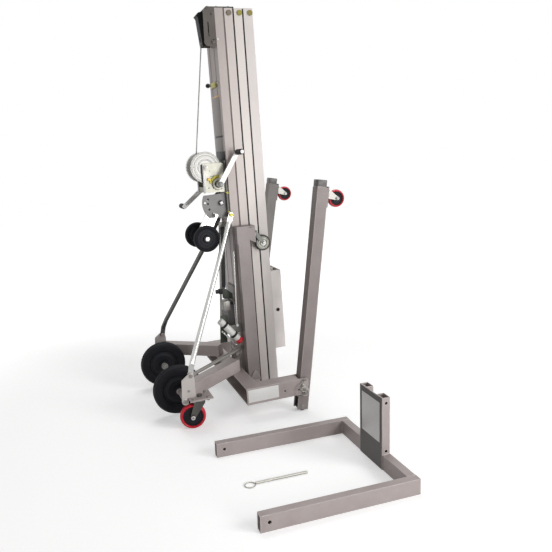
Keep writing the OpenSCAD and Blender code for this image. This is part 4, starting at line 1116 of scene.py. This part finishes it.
    def _leg_top(self, side: Side) -> None:
        """Race, axle nuts and plate bolts of the caster at the end of a leg, and the leg's cap."""
        face, place = LEG_HALF + 6, leg_matrix(side)
        race = Shape().lathe((face + 0.2, 0, LEG_CASTER), ALONG,
                             [(17, 0), (22, 0), (24, 1.4), (24, 3.4), (22, 4.8), (17, 4.8)], 48, True)
        for s in BOTH:
            race.bolt((LEG_AXLE[0], s * 21.0, LEG_AXLE[2]), (0, s, 0), 7.0, nut=s > 0)
        self.piece("leg_race", race.turned(place), LEG_CASTER_STEEL, "caster_steel", "leg_caster_fork_", side=side)
        bolts = Shape()
        for y in (-20, 20):
            for z in (936, 1018):
                bolts.lathe((face, y, z), ALONG, flat_head(5.6, 0.5, 4.6, 1.1), 24)
        bolts.bolt((19.5, 0, 1044), ALONG, 7.0)
        self.piece("leg_plate_bolts", bolts.turned(place), DULL, body="leg_", side=side)
        half = LEG_HALF - 0.8
        cap = Shape().box((-half, -half, LEG_TOP), (20.7, half, LEG_TOP + 32.4))
        self.piece("leg_cap", cap.turned(place), DARK_CAP, "frame_paint", "leg_", 3.0, side)

    def _beads(self, side: Side) -> None:
        """Weld beads where the rear arm, the upright plate and the channel meet."""
        c, s = polar(1.0, math.radians(ARM_TURN))
        ahead, across = np.array([c, s, 0]), np.array([-s, c, 0])
        beads = Shape()
        for k in BOTH:
            start = np.array(ARM_FOOT) + across * k * (HALF_TUBE + 0.5)
            beads.bead(start + ahead * 4, start + ahead * 92)
        for y in (391.5, 400.5):
            beads.bead((42, y, CHANNEL_TOP), (60, y, CHANNEL_TOP), 2.4)
        self.piece("arm_beads", beads, FRAME_PAINT, "frame_paint", side=side)

    def _bare_plate(self) -> None:
        """Plain pale plate on the outer wall of the right side member, left without any words."""
        plate = Shape().box((306, MEMBER_OUT, 84), (464, MEMBER_OUT + 0.8, 148)).sided(Side.RIGHT)
        self.piece("side_plate", plate, PLATE, "frame_paint", bevel=0.3)

    def _mast_foot(self) -> None:
        """Bolts through the mast foot."""
        bolts = Shape()
        for y in (-55, 55):
            for z in (185, 205):
                bolts.bolt((378, y, z), (-1, 0, 0), 10.0, nut=True)
        self.piece("foot_bolts", bolts, BRIGHT)


class WinchDetails(Details):
    """Folded plate edges, nuts, ratchet, grips and the stranded cable of the winch."""

    def build(self) -> None:
        """Adds every detail of the winch."""
        self._plates()
        self._ratchet()
        self._drum()
        self._cable()
        for side in Side:
            self._grip(side)
            self._hub(side)

    def _plates(self) -> None:
        """Folded rear edges of the side plates, white as a painted highlight of their rounded edges, the bolts in them,
        black discs for holes that paint the shade inside, and the dark strips behind, the one between drum and plate
        painted shade.
        """
        x, _, z = DRUM
        folds, bolts, holes, mounts = Shape(), Shape(), Shape(), Shape()
        for s in BOTH:
            # Both boxes of the fold, the second a proud strip, are white steel as a painted highlight of the plate's
            # rounded rear edge.
            low, high = span(s, PLATE_OUT, PLATE_OUT - 16)
            folds.box((x - 18.4, low, 1092), (x - 15, high, 1241))
            low, high = span(s, PLATE_OUT, PLATE_OUT + 0.9)
            folds.box((x - 15.2, low, 1094.5), (x - 8.6, high, 1238.5))
            bolts.bolt((x, s * (PLATE_OUT + 8), z), (0, s, 0), 8.0, nut=True)
            # Black discs for holes in the plates: painted shade inside the holes.
            for hole_x, hole_z, r in ((361.5, 1123, 4.2), (355, 1111, 4.6), (289, 1118, 3.2), (300, 1203, 2.6)):
                holes.lathe((hole_x, s * PLATE_OUT, hole_z), (0, s, 0), dark_spot(r), 20)
            for level in (1088, 988):
                mounts.bolt((MOUNT_X, s * 90, level), (0, s, 0), 6.0, nut=True)
                mounts.rod((MOUNT_X, s * 88, level), (MOUNT_X, s * 101, level), 2.4, 16, 0.8)
        # Dark strip between drum and near plate: painted shade.
        strip = Shape().box((x - 26, -70.6, 1150), (x - 18.6, -68.2, 1236))
        self.piece("winch_folds", folds, WHITE_STEEL, bevel=0.8)
        self.piece("winch_bolts", bolts, WHITE_STEEL)
        self.piece("winch_holes", holes, GRIP, "black_grip")
        self.piece("winch_gap_strip", strip, DARK, "dark_cover", bevel=0.4)
        self.piece("winch_back_band", Shape().box((383.4, -78, 1250), (386, 78, 1296)), DARK, "dark_cover", bevel=0.5)
        self.piece("mount_bolts", mounts, YELLOW_ZINC)

    def _ratchet(self) -> None:
        """Toothed ratchet wheel by the near plate, its cover and washer, its pawl and the pawl's bolt and spring."""
        x, _, z = CRANK
        outline = []
        for a in (2 * math.pi * k / TEETH for k in range(TEETH)):
            outline += [polar(31.5, a), polar(27.0, a + 0.05)]
        wheel = Shape().slab(outline, -79.5, -9.2, x, z)
        self.piece("ratchet_wheel", wheel, WINCH, body="winch_crankshaft", bevel=0.4)
        arc = np.radians(np.linspace(76, 172, 30))
        crescent = [polar(r, a) for r, turn in ((44.5, arc), (29.0, arc[::-1])) for a in turn]
        self.piece("ratchet_cover", Shape().slab(crescent, -75.2, -4.0, x, z), YELLOW_ZINC, bevel=0.5)
        disc = Shape().lathe((x, -88.7, z), NEAR, washer(14.2, 19, 1.4, 18, 2.0), 40, True)
        self.piece("ratchet_washer", disc, GRIP, body="winch_crankshaft")
        x, z = PAWL
        pawl = Shape().prism([(-7, -5), (6, -8), (22, -7), (27, -2), (20, 3), (7, 7), (-4, 7)], (x, -75.6, z),
                             (0.94, 0, -0.34), (0.34, 0, 0.94), (0, -4.0, 0))
        self.piece("pawl", pawl, YELLOW_ZINC, bevel=0.8)
        self.piece("pawl_bolt", Shape().bolt((x, -79.6, z), NEAR, 5.0), ORANGE_ZINC)
        t = np.linspace(0, 1, 120)
        turn = t * 12 * 2 * math.pi
        coil = np.stack([300 + 26 * t + 3.0 * np.cos(turn), -80.5 + 3.0 * np.sin(turn), 1172 + 8 * t], 1)
        self.piece("pawl_spring", Shape().tube(coil, 0.7, 6), BRIGHT)

    def _drum(self) -> None:
        """Pressed rings on the drum's near flange, and the dark lines and holes between them, painted as the shade at
        the rings' feet and inside the holes.
        """
        x, _, z = DRUM
        seat = (x, FLANGE_Y, z)
        rings, lines = Shape(), Shape()
        for r in (38.0, 57.0, 74.0):
            rings.lathe(seat, NEAR, [(r - 1.9, -0.4), (r - 0.9, 0.9), (r + 0.9, 0.9), (r + 1.9, -0.4)], 72, True)
        self.piece("flange_rings", rings, FLANGE, body="winch_drum")
        # Dark lines at the feet of the pressed rings: painted shade.
        for r in (34.9, 41.1, 60.4, 71.0, 77.4):
            lines.lathe(seat, NEAR, ring(r - 0.7, r + 0.6, -0.4, 0.35), 72, True)
        for a in (150, 20, 265):
            dx, dz = polar(49, math.radians(a))
            hole = [(CORE, -0.4), (3.4, -0.4), (3.4, 0.35), (CORE, 0.35)]
            lines.lathe((x + dx, FLANGE_Y, z + dz), NEAR, hole, 20)
        self.piece("flange_lines", lines, DARK_STEEL, body="winch_drum")

    def _cable(self) -> None:
        """The cable as six strands and a core, wound on the drum and laid along its route over the sheave."""
        (x0, _, z0), (x1, _, z1), curve = DRUM, SHEAVE, SHEAVE_GROOVE
        left = TURNS - np.arange(TURNS * 60 + 1) / 60.0
        tilt = math.degrees(math.atan2(x1 - x0, z1 - z0))
        slant = math.degrees(math.asin((curve - WIND) / math.hypot(x1 - x0, z1 - z0)))
        leave = math.radians(180 - (tilt - slant))
        turn = leave + 2 * math.pi * left
        wound = np.stack([x0 + WIND * np.cos(turn), -STEP * left, z0 + WIND * np.sin(turn)], 1)
        over = np.linspace(leave, 0, 24)
        top = np.stack([x1 + curve * np.cos(over), 0 * over, z1 + curve * np.sin(over)], 1)
        straight = even_path(wound[-1], top[0], 240)[1:-1]
        down = even_path(top[-1], (x1 + curve, 0, z1 - 120), 30)[1:]
        route = np.concatenate([wound, straight, top, down])
        cable = Shape()
        for k in range(STRANDS):
            cable.tube(laid(route, STRAND_REACH, STRAND_LAY, k / STRANDS), STRAND, 6)
        cable.tube(route, CABLE_CORE, 6)
        self.piece("cable_strands", cable, CABLE, "cable_steel", replaces="lift_cable")

    def _grip(self, side: Side) -> None:
        """Black grip with finger ribs and its pale end washer."""
        x, z = crank_tip(side)
        ribs = [(14.0 - 0.9 * (0.5 + 0.5 * math.cos(2 * math.pi * k / 6)), 6 + k * 1.5) for k in range(46)]
        profile = [(5.1, 0), (12, 0), (13.6, 2), (14, 4), *ribs, (13.4, 77), (11.2, 80), (5.1, 80)]
        self.piece("grip", round_y((x, CRANK_OUT + 1, z), profile, 40, True), GRIP, "black_grip", "crank_grip_",
                   side=side, replaces="crank_grip_")
        profile = [(CORE, 0), (7.0, 0), (7.0, 1.6), (6.0, 2.6), (4.5, 2.8), (3.6, 4.2), (CORE, 4.4)]
        end = round_y((x, CRANK_OUT + 81.4, z), profile, 32)
        self.piece("grip_end", end, WHITE_STEEL, body="winch_crankshaft", side=side)

    def _hub(self, side: Side) -> None:
        """Square hub and nut that clamp a crank to its shaft."""
        x, _, z = CRANK
        tip_x, tip_z = crank_tip(side)
        c, s = polar(1.0, math.atan2(tip_z - z, tip_x - x))
        hub = Shape().prism(square(14), (x, CRANK_OUT - 22, z), (c, 0, s), (-s, 0, c), (0, 13.8, 0))
        self.piece("crank_hub", hub, WHITE_STEEL, body="winch_crankshaft", bevel=1.5, side=side)
        nut = Shape().bolt((x, CRANK_OUT, z), ACROSS, 12.0, nut=True)
        self.piece("crank_nut", nut, DARK_STEEL, body="winch_crankshaft", side=side)


def laid(route: np.ndarray, reach: float, lay: float, phase: float) -> np.ndarray:
    """Path of one strand that winds round a route.

    Args:
        route: points of the route.
        reach: distance of the strand's middle from the route.
        lay: length of one full turn of the strand.
        phase: where the strand starts, as a share of a turn.

    Returns:
        Points of the strand, one for each point of the route.
    """
    steps = np.linalg.norm(np.diff(route, axis=0), axis=1)
    along = np.concatenate([[0.0], np.cumsum(steps)])
    ahead = np.gradient(route, axis=0)
    ahead /= np.linalg.norm(ahead, axis=1)[:, None]
    side = np.cross(np.array(ACROSS, float), ahead)
    side /= np.linalg.norm(side, axis=1)[:, None]
    other = np.cross(ahead, side)
    a = 2 * math.pi * (along / lay + phase)
    return route + reach * (np.cos(a)[:, None] * side + np.sin(a)[:, None] * other)


class MastDetails(Details):
    """Screws, strips and fittings on and behind the mast."""

    def build(self) -> None:
        """Adds every detail of the mast, the loading wheels and the stabilisers."""
        self._head()
        self._rear_face()
        self._glides()
        self._quadrant()
        self._rear_gear()
        self._rods()
        self._document_tube()
        for side in Side:
            self._brace_bolt(side)
            self._stabiliser(side)
        self._carriage()

    def _head(self) -> None:
        """Bolts of the head housing and of its sheave, and the screws in the caps of the first two columns."""
        bolts, caps = Shape(), Shape()
        for s in BOTH:
            bolts.bolt((391, s * MAST_HALF, 1831), (0, s, 0), 5.0)
            for x in (356, 402):
                bolts.bolt((x, s * 84, CAP_TOP), UP, 6.0)
            caps.bolt((MAST_X + 74, s * 86, CAP_TOP), UP, 6.0)
        self.piece("head_bolts", bolts, WHITE_STEEL)
        nuts = Shape().bolt((SHEAVE[0], -MAST_HALF, SHEAVE[2] - 42), NEAR, 8.0, nut=True)
        self.piece("sheave_nuts", nuts.bolt((374, -MAST_HALF, 1948), NEAR, 7.0), HEAD, "dark_cover")
        self.piece("second_cap_bolts", caps, BRIGHT, body="mast_2")

    def _rear_face(self) -> None:
        """Bare plates, a strip, a lip and the tie bar with its knob and bolt on the mast's rear face."""
        for name, finish, slot, bevel, boxes in (
                ("rear_plate", REAR_PLATE, "column_aluminium", 0.3,
                 ((0.9, -62, 62, 1376, 1566), (0.9, -62, 62, 1298, 1366))),
                ("rear_strip", DARK, "dark_cover", 0.4, ((1.6, -66, 66, 1366.5, 1375.5),)),
                ("rear_plate_lip", ORANGE_ZINC, "column_aluminium", 0.3, ((1.2, -62, 62, 1566.5, 1574),)),
                ("cable_tie_bar", YELLOW_ZINC, "bright_steel", 2.0, ((8, -30, 66, 1616, 1642),))):
            shape = Shape()
            for rise, y0, y1, z0, z1 in boxes:
                shape.box((MAST_X - rise, y0, z0), (MAST_X, y1, z1))
            self.piece(name, shape, finish, slot, bevel=bevel)
        knob = Shape().lathe((MAST_X - 1, 116, 1640), (-0.3, 0.95, 0),
                             [(CORE, 0), (7, 0), (11, 6), (12, 14), (10, 20), (CORE, 22)], 32)
        knob.rod((MAST_X - 4, 60, 1632), (MAST_X - 1, 118, 1640), 4.5, 16, 1.0)
        self.piece("tie_knob", knob, GRIP, "black_grip")
        self.piece("tie_bolts", Shape().bolt((MAST_X - 0.2, -63, 1632), (-1, 0, 0), 6.0), WHITE_STEEL)

    def _glides(self) -> None:
        """Dark wear strips in the grooves between the columns; their brown-grey and black are painted shade of the
        grooves.
        """
        # The brown-grey and black of these strips paint the shade of the grooves.
        for k, body, foot, finish in ((1, "frame", 63, BROWN_GROOVE_SHADE), (2, "mast_2", 47, GRIP), (3, "mast_3", 47, GRIP)):
            x = MAST_X + k * PITCH
            strips = Shape()
            for s in BOTH:
                low, high = span(s, 95.3, 97.4)
                strips.box((x - 8.0, low, foot), (x - 0.4, high, MAST_TOP - 3))
            self.piece(f"glide_{k}", strips, finish, "black_grip", body)

    def _quadrant(self) -> None:
        """Pivot nuts, pins and holes of the quadrant, and the washers at the ends of the loading axle."""
        seats, nuts, holes, axle = Shape(), Shape(), Shape(), Shape()
        x, z = QUAD_PIVOT
        for s in BOTH:
            seats.lathe((x, s * 78, z), (0, s, 0), washer(CORE, 13.5, 1.6, 12.8, 2.2), 32)
            nuts.prism(square(8), (x, s * 80.2, z), (0.94, 0, 0.34), (-0.34, 0, 0.94), (0, s * 7.0, 0))
            axle.lathe((LOAD_AXLE[0], s * 125.4, LOAD_AXLE[2]), (0, s, 0), washer(8.2, 12, 2.0, 11.2, 2.8), 40, True)
        self.piece("quadrant_washers", seats, DARK, "dark_cover")
        self.piece("quadrant_nuts", nuts, WHITE_STEEL, bevel=0.8)
        pins = Shape().bolt((262, QUAD_FACE, 1044), NEAR, 5.0)
        pins.rod((303, QUAD_FACE, 987), (303, QUAD_FACE - 9, 987), 4.4, 20, 1.2)
        self.piece("quadrant_pins", pins, WHITE_STEEL)
        # Black discs for holes in the quadrant: painted shade inside the holes.
        for x, z in ((280, 1060), (277.5, 1038), (283, 1009)):
            holes.lathe((x, QUAD_FACE, z), NEAR, dark_spot(5.6), 24)
        self.piece("quadrant_holes", holes, GRIP, "black_grip")
        self.piece("loading_washers", axle, DULL, "pale_tube", "loading_arm")

    def _rear_gear(self) -> None:
        """The channel behind the mast, near-black partly as painted shade, with a white rod along its edge as a painted
        highlight, and the prop rod with what holds it.
        """
        y = PROP_Y
        channel = Shape().slab([(340, 930), (360, 930), (340, 584), (319, 584)], -46, 24)
        # Near-black channel behind the mast: partly painted shade.
        self.piece("rear_channel", channel, DARK, "dark_cover", bevel=1.0)
        # White rod along the channel's edge: a painted highlight.
        self.piece("rear_channel_edge", Shape().rod((364, -50, 930), (345, -50, 584), 2.0, 12, 0.5), WHITE_STEEL)
        foot = Shape().slab([(297, 438), (337, 430), (325, 285), (286, 285)], y + 16, 6)
        self.piece("rear_foot", foot, GREEN_PLATE, "dark_cover", bevel=0.8)
        rod = Shape().rod((333, y, 930), (298, y, 440), 6.0, 24, 1.0).box((327, y - 8, 914), (386, y + 8, 936))
        self.piece("prop_rod", rod, DULL, "dark_cover")
        clamp = Shape().box((296, y - 10, 560), (316, y + 10, 586)).box((280, y - 7, 563), (297, y + 7, 583))
        self.piece("prop_clamp", clamp.bolt((306, y - 10, 573), NEAR, 7.0), GRIP, "black_grip", bevel=1.5)
        plate = Shape().slab([(318, 597), (374, 549), (374, 521), (318, 531)], y + 12, 4)
        self.piece("prop_plate", plate, GREEN_PLATE, "dark_cover", bevel=0.6)
        stay = Shape().slab([(314, 505), (380, 492), (380, 340), (306, 380)], y + 24, 6)
        self.piece("prop_stay", stay, QUADRANT, "dark_cover", bevel=0.8)
        self.piece("prop_block", Shape().box((312, y - 12, 466), (351, y + 44, 519)), DULL, bevel=2.5)

    def _rods(self) -> None:
        """The two chromed rods by the document tube, the lower one with balls at its ends."""
        y = CHROME_Y
        upper = Shape().rod((383, y, 786), (369, y, 393), 4.4, 24, 1.0)
        upper.rod((382, y + 12.5, 770), (382, y - 2, 770), 3.2, 16, 0.8).box((362, y - 4, 384), (376, y + 4.5, 396))
        self.piece("chromed_rod", upper, CHROME)
        a, b = (286, y - 0.2, 366), (354, y - 0.2, 285)
        self.piece("lower_rod", Shape().rod(a, b, 4.0, 20, 1.0).ball(a, 6.0, 16).ball(b, 6.0, 16), CHROME)

    def _document_tube(self) -> None:
        """Rolled lip and grip ribs of the tube's cap, and the straps round the tube."""
        a, b = np.array(DOC_A, float), np.array(DOC_B, float)
        u, e1, e2 = axes(tuple(b - a))
        cap, straps = Shape(), Shape()
        for k in range(CAP_RIBS):
            c, s = polar(1.0, 2 * math.pi * k / CAP_RIBS)
            rib = b + CAP_RADIUS * (c * e1 + s * e2)
            cap.rod(tuple(rib - 12 * u), tuple(rib + 4 * u), 1.1, 8, 0.6)
        cap.lathe(tuple(b), tuple(u), [(CORE, 5.5), (18, 5.5), (20, 6.4), (20, 7.4), (17, 8.4), (CORE, 8.8)], 48)
        self.piece("cap_grip", cap, RED_CAP, "red_plastic", "document_cap")
        for along in (28, 104):
            strap = [(20.4, 1.4), (22, 1.4), (22, 10.6), (20.4, 10.6)]
            straps.lathe(tuple(a + along * u), tuple(u), strap, 48, True)
        self.piece("tube_straps", straps, GRIP, "dark_cover")

    def _brace_bolt(self, side: Side) -> None:
        """Bolt at the top of a mast brace."""
        x, y, z = BRACE_TOP
        self.piece("brace_bolt", Shape().bolt((x, y + 9, z), ACROSS, 9.0), YELLOW_ZINC, side=side)

    def _stabiliser(self, side: Side) -> None:
        """Race and axle discs of a stabiliser's caster, and the pale rings on its wheel."""
        x, y, z = STAB_AXLE
        race = Shape().lathe(STAB_RACE, ALONG, [(12, 0), (17.5, 0), (19, 2), (19, 5), (17, 7.4), (12, 7.4)], 40, True)
        rings = Shape()
        for s in BOTH:
            race.lathe((x, y + s * 23, z), (0, s, 0), [(CORE, 0), (6, 0), (6, 0.3), (CORE, 0.5)], 32)
            rings.lathe((x, y + s * 15.6, z), (0, s, 0), ring(8, 14, -1, 0.5), 40, True)
            rings.lathe((x, y + s * 15.6, z), (0, s, 0), ring(23, 25.5, -1, 0.4), 48, True)
        self.piece("stabiliser_wheel_rings", rings, WHITE_STEEL, "pale_wheel", "stabiliser_wheel_", side=side)
        self.piece("stabiliser_race", race, WHITE_STEEL, "caster_steel", "stabiliser_caster_", side=side)

    def _carriage(self) -> None:
        """Stop bolts on the front of the carriage."""
        bolts = Shape()
        for s in BOTH:
            bolts.bolt((600, s * 60, 654), UP, 7.0)
        self.piece("carriage_bolts", bolts, BRIGHT, body="carriage")


class ForkDetails(Details):
    """Beads and bare plate of the detached fork frame."""

    def build(self) -> None:
        """Adds every detail of the piece on the floor."""
        x, mid = FORK_BAR_X, (FORK_Y0 + FORK_Y1) / 2
        beads = Shape()
        for y in (FORK_Y0 + 34, FORK_Y1 - 34):
            beads.bead((x, y, 62.5), (x + 36, y, 62.5)).bead((x - 1, y, 2), (x - 1, y, 62))
        for s in BOTH:
            y, inner = mid + s * BRACKET_HALF, mid + s * (BRACKET_HALF - 50)
            beads.bead((x + 33.4, y, 64), (x + 33.4, inner, 64)).bead((x + 2, y, 64), (x + 31, y, 64))
        self.piece("fork_beads", beads, FRAME_PAINT, "frame_paint", on_floor=True)
        plate = Shape().box((x - 4.8, mid - 75, 112), (x - 4, mid + 75, 284))
        self.piece("bracket_plate", plate, PLATE, "frame_paint", bevel=0.3, on_floor=True)


FINISHES = {
    FRAME_PAINT: ("cross_channel", "side_member", "rear_arm", "corner_bracket"),
    FORK_PAINT: ("fork_frame",),
    LEG_PAINT: ("leg_right",),
    SHADED_FAR_LEG_PAINT: ("leg_left",),
    CHROME: ("mast_brace_right", "loading_arm", "loading_pin"),
    DARK_STEEL: ("mast_brace_left",),
    DULL: ("stay_bar",),
    STAB_PAINT: ("stabiliser_right", "stabiliser_left"),
    COLUMN: ("column_1",),
    COLUMN_2: ("column_2",),
    COLUMN_3: ("column_3",),
    COLUMN_4: ("column_4",),
    CARRIAGE: ("carriage",),
    HEAD: ("head_housing",),
    DARK: ("column_2_cap", "leg_roller"),
    REAR_FITTINGS: ("mast_rear_fittings",),
    QUADRANT: ("wheel_quadrant",),
    TUBE_WHITE: ("document_tube",),
    BRIGHT: ("winch_crankshaft", "leg_lock_pin", "fork_pin", "head_pulley"),
    WINCH: ("winch_frame",),
    FLANGE: ("winch_drum",),
    WHITE_STEEL: ("crank_right", "crank_left"),
    CABLE: ("lift_cable",),
    GRIP: ("crank_grip",),
    RED_CAP: ("document_cap",),
    TYRE: ("big_wheel", "loading_wheel"),
    RED_TYRE: ("rear_caster_wheel", "leg_caster_wheel"),
    PALE_WHEEL: ("stabiliser_wheel",),
    CASTER: ("rear_caster_fork",),
    STAB_CASTER: ("stabiliser_caster",),
    LEG_CASTER_STEEL: ("leg_caster_fork",)}


def dress(nodes: dict[str, bpy.types.Object], place: Placement) -> None:
    """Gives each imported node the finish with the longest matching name.

    Args:
        nodes: the frame's nodes by name.
        place: where the machine stands.
    """
    pairs = [(stem, finish) for finish, stems in FINISHES.items() for stem in stems]
    for name, packed in nodes.items():
        fitting = [pair for pair in pairs if name.startswith(pair[0])]
        if not fitting:
            raise ValueError(f"no finish for {name}")
        finish = max(fitting, key=lambda pair: len(pair[0]))[1]
        packed.data.materials.clear()
        packed.data.materials.append(finish.material(place))
        LOG.info("%s takes %s", name, finish.name)


def main() -> None:
    """Builds the scene in order: frame, camera, studio, finishes, pieces."""
    logging.basicConfig(level=logging.INFO, format="%(name)s: %(message)s")
    bpy.context.scene.view_settings.view_transform = "Standard"
    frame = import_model()
    place = Placement.from_joints(frame["joints"])
    Camera().build(place)
    Studio().build()
    dress(frame["nodes"], place)
    shop = Workshop(place)
    for maker in (WheelMaker, BaseDetails, WinchDetails, MastDetails, ForkDetails):
        maker(shop).build()
    LOG.info("%d pieces made", shop.made)


if __name__ == "__main__":
    main()
